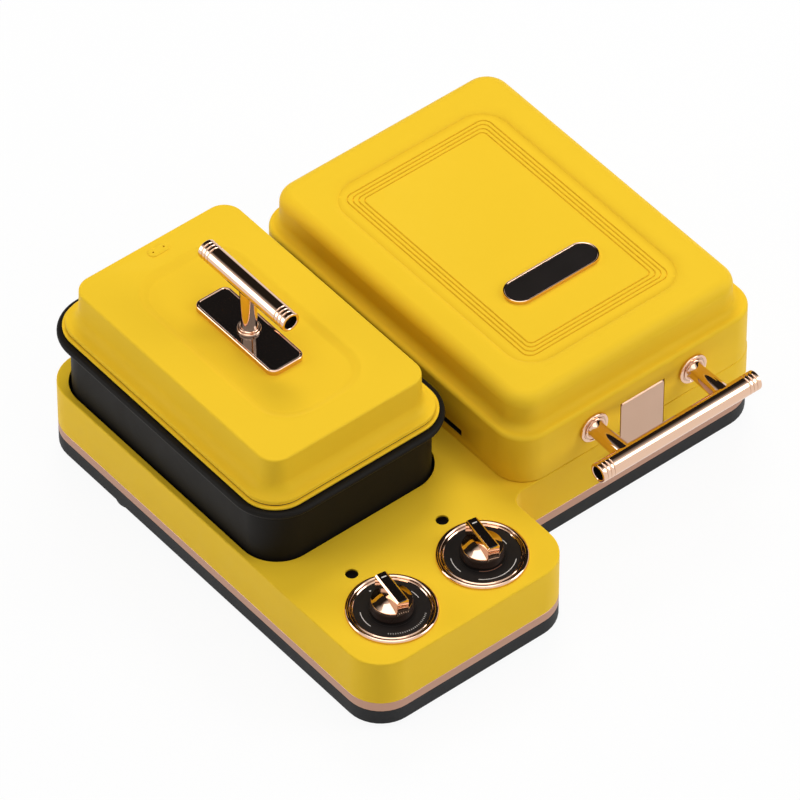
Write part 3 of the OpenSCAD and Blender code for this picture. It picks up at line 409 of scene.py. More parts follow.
FINISHES: dict[Slot, Finish] = {
    # the yellow's hollows get a strong, deep orange painted shade
    Slot.YELLOW_SHELL: Finish(
        "yellow_shell_coat", (0.93, 0.6, 0.03), (0.9, 0.575, 0.027), rough_low=0.4, rough_high=0.48, specular=0.06,
        grain_scale=1400.0, grain_depth=0.00003, grain_strength=0.22, wear=0.12, wear_color=(0.98, 0.7, 0.08),
        hollow=0.55, painted_crease_shade_color=(0.5, 0.24, 0.006)),
    Slot.COPPER_BAND: Finish(
        "copper_band_satin", srgb(188, 146, 124), srgb(180, 137, 116), metallic=0.75, rough_low=0.42,
        rough_high=0.5, brushed=True, stretch=(0.05, 0.05, 1.0), grain_scale=2200.0, grain_depth=0.00002,
        wear=0.15, wear_color=srgb(214, 180, 160)),
    Slot.DARK_SHELL: Finish(
        "dark_shell_plastic", srgb(48, 48, 49), srgb(42, 42, 43), rough_low=0.55, rough_high=0.65, specular=0.12,
        grain_scale=1100.0, grain_depth=0.00012, grain_strength=0.5, wear=0.2, wear_color=srgb(110, 110, 110)),
    Slot.FOOT_RUBBER: Finish(
        "foot_rubber_black", srgb(34, 34, 34), srgb(27, 27, 27), rough_low=0.75, rough_high=0.88,
        grain_scale=700.0, grain_depth=0.0001, grain_strength=0.5, wear=0.3, wear_color=srgb(70, 70, 70)),
    Slot.ROSE_GOLD: Finish(
        "rose_gold_polish", (0.8, 0.545, 0.4), (0.77, 0.505, 0.36), metallic=1.0, rough_low=0.035,
        rough_high=0.085, mottle_scale=40.0, grain_scale=2600.0, grain_depth=0.000004, grain_strength=0.1,
        wear=0.1, wear_color=(0.96, 0.8, 0.72)),
    Slot.LATCH_METAL: Finish(
        "latch_satin_metal", srgb(206, 172, 148), srgb(198, 162, 138), metallic=0.8, rough_low=0.36,
        rough_high=0.44, brushed=True, stretch=(1.0, 1.0, 0.04), grain_scale=2000.0, grain_depth=0.00002,
        wear=0.2, wear_color=srgb(228, 205, 188)),
    Slot.BLACK_GLOSS: Finish(
        "black_gloss_enamel", srgb(22, 17, 15), srgb(17, 13, 12), rough_low=0.06, rough_high=0.14, coat=0.6,
        mottle_scale=25.0, grain_scale=1200.0, grain_depth=0.00001, grain_strength=0.1, wear=0.05,
        wear_color=srgb(60, 50, 46)),
    Slot.BROWN_GLOSS: Finish(
        "brown_gloss_plastic", srgb(54, 39, 32), srgb(43, 31, 26), rough_low=0.3, rough_high=0.4,
        specular=0.12, mottle_scale=60.0, grain_scale=1500.0, grain_depth=0.00002, wear=0.1,
        wear_color=srgb(90, 70, 60)),
    Slot.LAMP_DARK: Finish(
        "lamp_window_dark", srgb(11, 6, 5), srgb(7, 4, 4), rough_low=0.5, rough_high=0.6, specular=0.06,
        mottle_scale=200.0, grain_scale=2000.0, grain_depth=0.00001),
    Slot.COATED_CAST: Finish(
        "coated_cast_plate", srgb(40, 39, 38), srgb(31, 30, 30), rough_low=0.38, rough_high=0.5,
        grain_scale=800.0, grain_depth=0.00012, grain_strength=0.5, wear=0.25, wear_color=srgb(90, 88, 86)),
    Slot.CAST_ALLOY: Finish(
        "cast_alloy_plate", srgb(148, 148, 150), srgb(126, 126, 129), metallic=0.9, rough_low=0.42,
        rough_high=0.56, grain_scale=500.0, grain_depth=0.0002, grain_strength=0.5),
    Slot.POT_COAT: Finish(
        "pot_coat_black", srgb(30, 27, 24), srgb(24, 22, 20), rough_low=0.45, rough_high=0.55, specular=0.08,
        grain_scale=1500.0, grain_depth=0.00006, grain_strength=0.35, wear=0.12, wear_color=srgb(74, 72, 70)),
    Slot.STEEL: Finish(
        "plain_steel", srgb(190, 190, 192), srgb(170, 171, 174), metallic=1.0, rough_low=0.26, rough_high=0.36,
        brushed=True, stretch=(1.0, 0.05, 1.0), grain_scale=1800.0, grain_depth=0.00003, grain_strength=0.3,
        wear=0.2, wear_color=srgb(220, 220, 222)),
    Slot.ELEMENT_STEEL: Finish(
        "heated_element_sheath", srgb(96, 92, 88), srgb(72, 68, 66), metallic=0.8, rough_low=0.45,
        rough_high=0.6, mottle_scale=90.0, grain_scale=1000.0, grain_depth=0.00006, grain_strength=0.4),
    Slot.SEAL_RUBBER: Finish(
        "seal_rubber_dark", srgb(44, 30, 20), srgb(34, 24, 17), rough_low=0.55, rough_high=0.7,
        grain_scale=900.0, grain_depth=0.00005, grain_strength=0.4),
    Slot.LINER_PLASTIC: Finish(
        "liner_plastic_dark", srgb(52, 51, 50), srgb(44, 43, 43), rough_low=0.5, rough_high=0.6,
        grain_scale=1000.0, grain_depth=0.0001, grain_strength=0.45, wear=0.15, wear_color=srgb(88, 87, 86)),
    Slot.CONTROL_BODY: Finish(
        "control_case", srgb(120, 116, 108), srgb(104, 100, 92), rough_low=0.4, rough_high=0.55,
        grain_scale=900.0, grain_depth=0.00006, grain_strength=0.35),
    Slot.BOARD_GREEN: Finish(
        "lamp_board_green", srgb(30, 104, 56), srgb(24, 88, 48), rough_low=0.3, rough_high=0.42, coat=0.3,
        mottle_scale=120.0, grain_scale=1600.0, grain_depth=0.00003),
    Slot.TERMINAL_WHITE: Finish(
        "terminal_block_white", srgb(226, 224, 216), srgb(212, 209, 200), rough_low=0.38, rough_high=0.5,
        grain_scale=900.0, grain_depth=0.00005, wear=0.1, wear_color=srgb(240, 239, 234)),
}
PLATE_MIRROR = Finish(
    "plate_mirror_black", srgb(24, 18, 16), srgb(18, 14, 13), rough_low=0.02, rough_high=0.05, coat=1.0,
    coat_rough=0.02, ior=2.2, coat_ior=1.7, mottle_scale=25.0, grain_scale=1200.0, grain_depth=0.000004,
    grain_strength=0.1)
DIAL_BLACK = Finish(
    "dial_face_black", srgb(33, 28, 26), srgb(26, 23, 22), rough_low=0.3, rough_high=0.4, specular=0.3,
    mottle_scale=80.0, grain_scale=1800.0, grain_depth=0.00001, grain_strength=0.2)
# Painted shade: a near-black finish on the insides of the bars' hollow ends and of the slot in the press's side
PAINTED_HOLLOW_SHADE = Finish(
    "painted_hollow_shade", srgb(18, 13, 11), srgb(12, 9, 8), metallic=0.3, rough_low=0.5, rough_high=0.6,
    specular=0.2, mottle_scale=300.0, grain_scale=1500.0, grain_depth=0.00002)
DIAL_INK = Finish(
    "dial_ink_white", srgb(226, 220, 214), srgb(208, 200, 192), rough_low=0.4, rough_high=0.5,
    mottle_scale=300.0, grain_scale=2000.0, grain_depth=0.000005)
DIAL_INK_COPPER = Finish(
    "dial_ink_copper", srgb(196, 140, 116), srgb(178, 124, 100), metallic=0.5, rough_low=0.3, rough_high=0.4,
    mottle_scale=300.0, grain_scale=2000.0, grain_depth=0.000005)


class Palette:
    """Keeps one built material for each finish."""

    def __init__(self) -> None:
        """Start with nothing built."""
        self._built: dict[str, bpy.types.Material] = {}

    def get(self, finish: Finish) -> bpy.types.Material:
        """Find a finish's material, built on its first use.

        Args:
            finish: The finish.

        Returns:
            Its material.
        """
        if finish.name not in self._built:
            self._built[finish.name] = finish.build()
        return self._built[finish.name]

    def dress_nodes(self, frame: dict) -> int:
        """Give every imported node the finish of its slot.


        Returns:
            The number of nodes dressed.
        """
        slots = {row["node"]: Slot(row["material_slot"]) for row in frame["record"]["subparts"]}
        for name, obj in frame["nodes"].items():
            material = self.get(FINISHES[slots[name]])
            if not obj.material_slots:
                obj.data.materials.append(material)
            for entry in obj.material_slots:
                entry.material = material
        return len(slots)


# Mesh making


class Shape:
    """A mesh in the making, in millimetres."""

    CLEAR = 20.0  # height at which an outline is bridged
    MERGE = 1e-4  # distance within which points become one

    def __init__(self) -> None:
        """Start an empty mesh."""
        self.bm = bmesh.new()

    def outline(self, corners: Sequence[Point], radii: Sequence[float], z: float, segments: int = 10) -> Ring:
        """Make a closed outline with rounded corners.

        Args:
            corners: The sharp corners in order.
            radii: A radius for each corner.
            z: Height of the outline.
            segments: Number of chords in each corner.

        Returns:
            The outline's edges.
        """
        verts = [self.bm.verts.new((x, y, z)) for x, y in corners]
        known = set(self.bm.faces)
        self.bm.faces.new(verts)
        for radius in sorted(set(radii)):
            picked = [v for v, r in zip(verts, radii) if r == radius]
            bmesh.ops.bevel(self.bm, geom=picked, offset=radius, offset_type="OFFSET", segments=segments,
                            profile=0.5, affect="VERTICES", material=-1)
        face = next(f for f in self.bm.faces if f not in known)
        edges = list(face.edges)
        bmesh.ops.delete(self.bm, geom=[face], context="FACES_ONLY")
        return edges

    def rect(self, width: float, length: float, radius: float, z: float, centre: Point = (0.0, 0.0),
             segments: int = 10) -> Ring:
        """Make a rounded rectangle as a closed outline.

        Args:
            width: Size along X.
            length: Size along Y.
            radius: Radius of its corners.
            z: Its height.
            centre: Its middle.
            segments: Number of chords in each corner.

        Returns:
            The outline's edges.
        """
        x, y = width / 2, length / 2
        corners = [(centre[0] + i * x, centre[1] + j * y) for i, j in ((-1, -1), (1, -1), (1, 1), (-1, 1))]
        return self.outline(corners, [radius] * 4, z, segments)

    def bridge(self, rings: Sequence[Ring], closed: bool = False) -> None:
        """Join outlines one after another with faces.

        The second outline is lifted well clear while it is bridged, so that two level outlines can't twist.

        Args:
            rings: The outlines in order.
            closed: Whether the last joins the first.
        """
        order = list(rings) + ([rings[0]] if closed else [])
        for first, second in zip(order, order[1:]):
            lifted = list({vert for edge in second for vert in edge.verts})
            lift = self.CLEAR + first[0].verts[0].co.z - lifted[0].co.z
            bmesh.ops.translate(self.bm, vec=(0, 0, lift), verts=lifted)
            bmesh.ops.bridge_loops(self.bm, edges=first + second)
            bmesh.ops.translate(self.bm, vec=(0, 0, -lift), verts=lifted)

    def cap(self, ring: Ring) -> None:
        """Fill an outline with one face."""
        bmesh.ops.contextual_create(self.bm, geom=ring)

    def skin(self, rings: Sequence[Ring]) -> "Shape":
        """Join outlines into a closed body with a face at both ends.

        Args:
            rings: The outlines in order.

        Returns:
            This shape.
        """
        self.bridge(rings)
        self.cap(rings[0])
        self.cap(rings[-1])
        return self.outward()

    def hoop(self, rings: Sequence[Ring]) -> "Shape":
        """Join outlines into a closed hoop."""
        self.bridge(rings, closed=True)
        return self.outward()

    def lathe(self, profile: Sequence[Point], steps: int = 64, closed: bool = False) -> "Shape":
        """Spin a profile of (radius, height) about Z.

        Args:
            profile: The profile's points, from axis to axis or as a closed loop.
            steps: Number of steps round the turn.
            closed: Whether the last point joins the first.

        Returns:
            This shape.
        """
        verts = [self.bm.verts.new((r, 0, z)) for r, z in profile]
        pairs = list(zip(verts, verts[1:])) + ([(verts[-1], verts[0])] if closed else [])
        edges = [self.bm.edges.new(pair) for pair in pairs]
        bmesh.ops.spin(self.bm, geom=verts + edges, cent=(0, 0, 0), axis=(0, 0, 1), angle=math.tau,
                       steps=steps, use_merge=True)
        bmesh.ops.remove_doubles(self.bm, verts=self.bm.verts, dist=self.MERGE)
        return self.outward()

    def block(self, low: Sequence[float], high: Sequence[float]) -> "Shape":
        """Add a box.

        Args:
            low: Its lowest corner.
            high: Its highest corner.

        Returns:
            This shape.
        """
        size = [b - a for a, b in zip(low, high)]
        centre = [(a + b) / 2 for a, b in zip(low, high)]
        matrix = Matrix.Translation(centre) @ Matrix.Diagonal((*size, 1.0))
        bmesh.ops.create_cube(self.bm, size=1.0, matrix=matrix)
        return self

    def drum(self, radius: float, low: Sequence[float], height: float, facing: Facing = Facing.UP,
             sides: int = 40) -> "Shape":
        """Add a plain cylinder.

        Args:
            radius: Its radius.
            low: Middle of its first face.
            height: Distance to its other face.
            facing: Where that face points.
            sides: Number of its sides.

        Returns:
            This shape.
        """
        matrix = facing.matrix(low) @ Matrix.Translation((0, 0, height / 2))
        bmesh.ops.create_cone(self.bm, cap_ends=True, segments=sides, radius1=radius, radius2=radius,
                              depth=height, matrix=matrix)
        return self

    def prism(self, plan: "Plan", low: float, high: float) -> "Shape":
        """Add a rounded block between two heights."""
        return self.skin(plan.rings(self, ((0.0, low), (0.0, high))))

    def soften(self, width: float, segments: int = 3, angle: float = 30.0,
               where: Callable[[bmesh.types.BMEdge], bool] | None = None) -> "Shape":
        """Round the edges at which faces turn sharply.

        Args:
            width: Radius of the rounding.
            segments: Number of faces across it.
            angle: Least turn between the faces, in degrees.
            where: Test that picks the edges, or None for all.

        Returns:
            This shape.
        """
        picked = [e for e in self.bm.edges if len(e.link_faces) == 2
                  and e.calc_face_angle(0.0) > math.radians(angle) and (where is None or where(e))]
        bmesh.ops.bevel(self.bm, geom=picked, offset=width, offset_type="OFFSET", segments=segments,
                        profile=0.5, affect="EDGES", clamp_overlap=True, material=-1)
        return self

    def move(self, matrix: Matrix) -> "Shape":
        """Move or turn the whole shape."""
        bmesh.ops.transform(self.bm, matrix=matrix, verts=self.bm.verts)
        return self

    def shift(self, x: float = 0.0, y: float = 0.0, z: float = 0.0) -> "Shape":
        """Slide the whole shape."""
        return self.move(Matrix.Translation((x, y, z)))

    def stand(self, facing: Facing, place: Sequence[float]) -> "Shape":
        """Point the whole shape another way and slide it to its place."""
        return self.move(facing.matrix(place))

    def turn(self, degrees: float) -> "Shape":
        """Turn the whole shape about Z."""
        return self.move(Matrix.Rotation(math.radians(degrees), 4, "Z"))

    def outward(self) -> "Shape":
        """Turn all faces outwards."""
        bmesh.ops.recalc_face_normals(self.bm, faces=self.bm.faces)
        return self

    def add(self, other: "Shape") -> "Shape":
        """Put another shape beside this one, without joining their surfaces.

        Args:
            other: The other shape, used up here.

        Returns:
            This shape.
        """
        mesh = bpy.data.meshes.new("loose")
        other.bm.to_mesh(mesh)
        self.bm.from_mesh(mesh)
        bpy.data.meshes.remove(mesh)
        other.bm.free()
        return self

    def _loose(self, name: str) -> bpy.types.Object:
        """Make a scene object of the shape for a modifier to work on.

        Args:
            name: The object's name.

        Returns:
            The object.
        """
        mesh = bpy.data.meshes.new(name)
        self.bm.to_mesh(mesh)
        obj = bpy.data.objects.new(name, mesh)
        bpy.context.scene.collection.objects.link(obj)
        return obj

    def carve(self, tool: "Shape", how: Carve) -> "Shape":
        """Cut another shape out of this one, or join it on.

        Args:
            tool: The other shape, used up here.
            how: Cut or join.

        Returns:
            This shape.
        """
        main, other = self._loose("work"), tool._loose("tool")
        step = main.modifiers.new("carve", "BOOLEAN")
        step.object, step.operation, step.solver = other, how.value, "EXACT"
        graph = bpy.context.evaluated_depsgraph_get()
        mesh = bpy.data.meshes.new_from_object(main.evaluated_get(graph))
        self.bm.clear()
        self.bm.from_mesh(mesh)
        tool.bm.free()
        for obj in (main, other):
            data = obj.data
            bpy.data.objects.remove(obj)
            bpy.data.meshes.remove(data)
        bpy.data.meshes.remove(mesh)
        return self

    def finish(self, name: str, angle: float = 32.0) -> bpy.types.Object:
        """Make the shape an object in metres with smooth shading between its sharp edges.

        Args:
            name: The piece's name.
            angle: Turn between faces from which an edge stays sharp, in degrees.

        Returns:
            The new object.
        """
        bmesh.ops.scale(self.bm, vec=(MM, MM, MM), verts=self.bm.verts)
        mesh = bpy.data.meshes.new(name)
        self.bm.to_mesh(mesh)
        self.bm.free()
        for face in mesh.polygons:
            face.use_smooth = True
        mesh.set_sharp_from_angle(angle=math.radians(angle))
        obj = bpy.data.objects.new(name, mesh)
        bpy.context.scene.collection.objects.link(obj)
        weights = obj.modifiers.new("weighted", "WEIGHTED_NORMAL")
        weights.keep_sharp = True
        return obj


@dataclass(frozen=True)
class Plan:
    """A rounded rectangle seen from above, to be drawn at any inset and height."""

    width: float
    length: float
    radius: float
    centre: Point = (0.0, 0.0)
    segments: int = 10

    def rings(self, shape: Shape, steps: Sequence[Point]) -> list[Ring]:
        """Draw the plan once for each step.

        Args:
            shape: Shape that takes the outlines.
            steps: Insets and heights.

        Returns:
            The outlines.
        """
        return [shape.rect(self.width - 2 * inset, self.length - 2 * inset, self.radius - inset, z, self.centre,
                           self.segments) for inset, z in steps]


@dataclass
class SubAssembly:
    """Common ground of the sub-assemblies: their body, their palette and how a piece is put in."""

    palette: Palette
    body: Body = Body.BASE

    def put(self, shape: Shape, name: str, slot: Slot, *nodes: str, finish: Finish | None = None,
            second: Finish | None = None, body: Body | None = None, angle: float = 32.0) -> bpy.types.Object:
        """Finish a shape, dress it and let it ride.

        Args:
            shape: The shape, used up here.
            name: Name of the piece.
            slot: The record's slot that gives its finish.
            nodes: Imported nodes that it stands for.
            finish: A finish of its own, in place of the slot's.
            second: A finish for the faces marked SECOND.
            body: A body other than the sub-assembly's.
            angle: Turn from which an edge stays sharp, in degrees.

        Returns:
            The piece.
        """
        obj = shape.finish(name, angle)
        obj.data.materials.append(self.palette.get(finish or FINISHES[slot]))
        if second:
            obj.data.materials.append(self.palette.get(second))
        rider = body or self.body
        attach(obj, rider.value)
        if nodes:
            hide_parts(*nodes)
        LOG.info("%s: %d faces on %s", name, len(obj.data.polygons), rider.value)
        return obj


# Sub-assemblies


@dataclass
class BaseHousing(SubAssembly):
    """The L-shaped base: yellow deck, copper band, dark tray, feet and the cord's gland."""

    left: float = -164.55
    right: float = 166.45
    front: float = -152.5
    back: float = 147.5
    wall_y: float = FRONT_WALL_Y
    left_w: float = 144.0
    corner_r: float = 22.5
    notch_r: float = 9.0
    wall: float = 2.5
    deck_z: float = DECK_Z
    band_z: float = 14.5
    band_top: float = 20.9
    band_r: float = 0.25
    shell_z: float = 3.3
    floor_z: float = 5.5
    tray_r: float = 2.0
    edge_r: float = 0.9
    relief: float = 0.2
    cut_depth: float = 6.0
    cut_h: float = 8.0
    well: Plan = Plan(130.2, 198.5, 23.8, POT_CENTRE, 14)
    opening: Plan = Plan(149.0, 197.0, 12.5, PRESS_CENTRE, 12)
    shaft_hole_r: float = 4.5
    lamp_r: float = 3.75
    pocket_z: float = 38.0
    pocket_wall: tuple[float, float, float] = (5.0, 8.7, 26.9)
    gland: tuple[float, float] = (20.45, 34.0)
    gland_r: float = 7.0
    gland_out: float = 5.0
    vents: int = 7
    vent: tuple[float, float, float] = (4.0, 90.0, 1.95)
    vent_step: float = 16.0
    vent_z: tuple[float, float] = (1.0, 9.0)
    boss_r: float = 5.5
    screw_r: float = 3.8
    screw_h: float = 5.8
    screws: tuple[Point, ...] = ((-153.55, -94.5), (-36.55, -138.5), (-14.55, -62.5), (157.45, -70.5),
                                 (157.45, 123.5), (-14.55, 131.5))
    feet_at: tuple[Point, ...] = ((-152.55, 78.5), (-136.55, -124.5), (138.45, -66.5), (138.45, 119.5))

    def rings(self, shape: Shape, steps: Sequence[Point]) -> list[Ring]:
        """Make the base's L-shaped outline once for each step.

        Args:
            shape: Shape that takes the outlines.
            steps: Insets and heights.

        Returns:
            The outlines.
        """
        rings = []
        for inset, z in steps:
            left, right, front, back = self.left + inset, self.right - inset, self.front + inset, self.back - inset
            inner, wall_y = self.left + self.left_w - inset, self.wall_y + inset
            corners = [(left, front), (inner, front), (inner, wall_y), (right, wall_y), (right, back), (left, back)]
            outer, notch = self.corner_r - inset, self.notch_r + inset
            rings.append(shape.outline(corners, [outer, outer, notch, outer, outer, outer], z))
        return rings

    def deck(self) -> Shape:
        """Build the yellow deck shell with its openings.

        Returns:
            The shell.
        """
        shape, top, edge = Shape(), self.deck_z, self.edge_r
        steps = [(self.wall, top - self.wall), (self.wall, self.band_top), (self.relief, self.band_top),
                 (0.0, self.band_top + self.relief)]
        steps += [(edge - x, top - edge + z) for x, z in arc((0, 0), edge, 0, 90, 5)]
        shape.skin(self.rings(shape, steps))
        half, (margin, reach, foot) = POCKET_W / 2, self.pocket_wall
        backing = Shape().block((LATCH_X - half - margin, self.wall_y + self.wall - SUNK, foot),
                                (LATCH_X + half + margin, self.wall_y + reach, top - self.wall + SUNK))
        shape.carve(backing, Carve.JOIN)
        low, tools = top - self.cut_depth, Shape()
        for plan in (self.well, self.opening):
            tools.prism(plan, low, low + self.cut_h)
        for x, y in DIAL_SPOTS:
            tools.drum(self.shaft_hole_r, (x, y, low), self.cut_h)
            tools.drum(self.lamp_r, (x, LAMP_Y, low), self.cut_h)
        tools.block((LATCH_X - half, self.wall_y - PAST, self.pocket_z),
                    (LATCH_X + half, self.wall_y + POCKET_D, top + PAST))
        x, z = self.gland
        tools.drum(self.gland_r, (x, self.back - self.gland_out, z), self.cut_h, Facing.BACK)
        return shape.carve(tools, Carve.CUT)

    def band(self) -> Shape:
        """Build the copper band as a closed ring with softened edges."""
        shape, low, high, soft = Shape(), self.band_z, self.band_top, self.band_r
        return shape.hoop(self.rings(shape, [(self.wall, low), (soft, low), (0.0, low + soft), (0.0, high - soft),
                                             (soft, high), (self.wall, high)]))

    def tray(self) -> Shape:
        """Build the dark tray with its rounded foot, vents and screw wells.

        Returns:
            The tray.
        """
        shape, top, foot = Shape(), self.band_z, self.tray_r
        steps = [(self.wall, self.floor_z), (self.wall, top), (self.relief, top), (0.0, top - self.relief)]
        steps += [(foot - x, self.shell_z + foot - z) for x, z in arc((0, 0), foot, 0, 90, 5)]
        shape.skin(self.rings(shape, steps))
        tools, (middle_x, middle_y) = Shape(), PRESS_CENTRE
        for i in range(self.vents):
            spot = (middle_x + (i - self.vents // 2) * self.vent_step, middle_y)
            tools.prism(Plan(*self.vent, spot, 6), *self.vent_z)
        for x, y in self.screws:
            shape.drum(self.boss_r, (x, y, self.floor_z - PAST), top - self.floor_z + PAST, sides=28)
            tools.drum(self.screw_r, (x, y, self.vent_z[0]), self.screw_h, sides=28)
        return shape.carve(tools, Carve.CUT)

    def feet(self) -> Shape:
        """Build the four rubber feet, each with a dished sole.

        Returns:
            The feet.
        """
        shape, top = Shape(), self.shell_z
        for x, y in self.feet_at:
            foot = Shape().lathe([(0.0, top), (10.5, top), (10.5, 0.9), *arc((9.7, 0.8), 0.8, 0, -90, 4),
                                  (7.6, 0.0), (7.2, 0.5), (0.0, 0.5)], 40)
            shape.add(foot.shift(x, y))
        return shape

    def inlet(self) -> Shape:
        """Build the cord's gland with a stepped, softened flange and an open bore.

        Returns:
            The gland.
        """
        profile = [(3.6, 12.0), (6.6, 12.0), (7.0, 11.6), (7.0, 5.0), (8.6, 5.0), (10.0, 5.0), (10.0, 2.0),
                   *arc((9.2, 2.0), 0.8, 0, -90, 4), (8.2, 0.6), (6.2, 0.6), (5.8, 0.0), (4.2, 0.0), (3.6, 0.5)]
        x, z = self.gland
        return Shape().lathe(profile, 48, closed=True).stand(Facing.FRONT, (x, self.back + self.gland_out, z))

    def build(self) -> None:
        """Build and dress the base."""
        self.put(self.deck(), "deck_shell", Slot.YELLOW_SHELL, "upper_housing")
        self.put(self.band(), "copper_trim", Slot.COPPER_BAND, "trim_band")
        self.put(self.tray(), "lower_tray", Slot.DARK_SHELL, "bottom_shell")
        self.put(self.feet(), "rubber_feet", Slot.FOOT_RUBBER, "feet")
        self.put(self.inlet(), "cord_inlet", Slot.DARK_SHELL, "cord_gland")


@dataclass(frozen=True)
class Stroke:
    """A thin printed arc on a dial's face, with its angles in degrees from +X."""

    radius: float
    width: float
    start: float
    end: float

    def shape(self, z: float, height: float = 0.05, step: float = 4.0) -> Shape:
        """Build the stroke, slightly raised and centred on the dial.

        Args:
            z: Height of its underside.
            height: Its thickness.
            step: Greatest angle between two of its faces.

        Returns:
            The stroke.
        """
        shape, turn = Shape(), self.end - self.start
        reach = self.width / 2
        first = [shape.bm.verts.new((r, 0, z)) for r in (self.radius - reach, self.radius + reach)]
        bmesh.ops.spin(shape.bm, geom=[*first, shape.bm.edges.new(first)], cent=(0, 0, 0), axis=(0, 0, 1),
                       angle=math.radians(turn), steps=max(2, int(abs(turn) / step)))
        grown = bmesh.ops.extrude_face_region(shape.bm, geom=list(shape.bm.faces))
        raised = [v for v in grown["geom"] if isinstance(v, bmesh.types.BMVert)]
        bmesh.ops.translate(shape.bm, vec=(0, 0, height), verts=raised)
        return shape.outward().turn(self.start)


DIAL_TICKS = tuple(Stroke(19.0, 0.9, middle - 0.5, middle + 0.5)
                   for middle in (225.0 + i * 85.0 / 21 for i in range(22)))
LEFT_MARKS = (Stroke(17.8, 0.9, 91.6, 94.6), Stroke(17.7, 0.45, 150.0, 189.5), *DIAL_TICKS,
              Stroke(16.9, 0.4, -10.0, 11.0))
RIGHT_MARKS = (Stroke(17.8, 0.45, 151.0, 188.0), Stroke(19.1, 0.45, 224.0, 311.0), Stroke(15.7, 0.4, -8.6, 5.7))
RIGHT_COPPER = (Stroke(13.0, 0.4, 223.0, 286.0),)


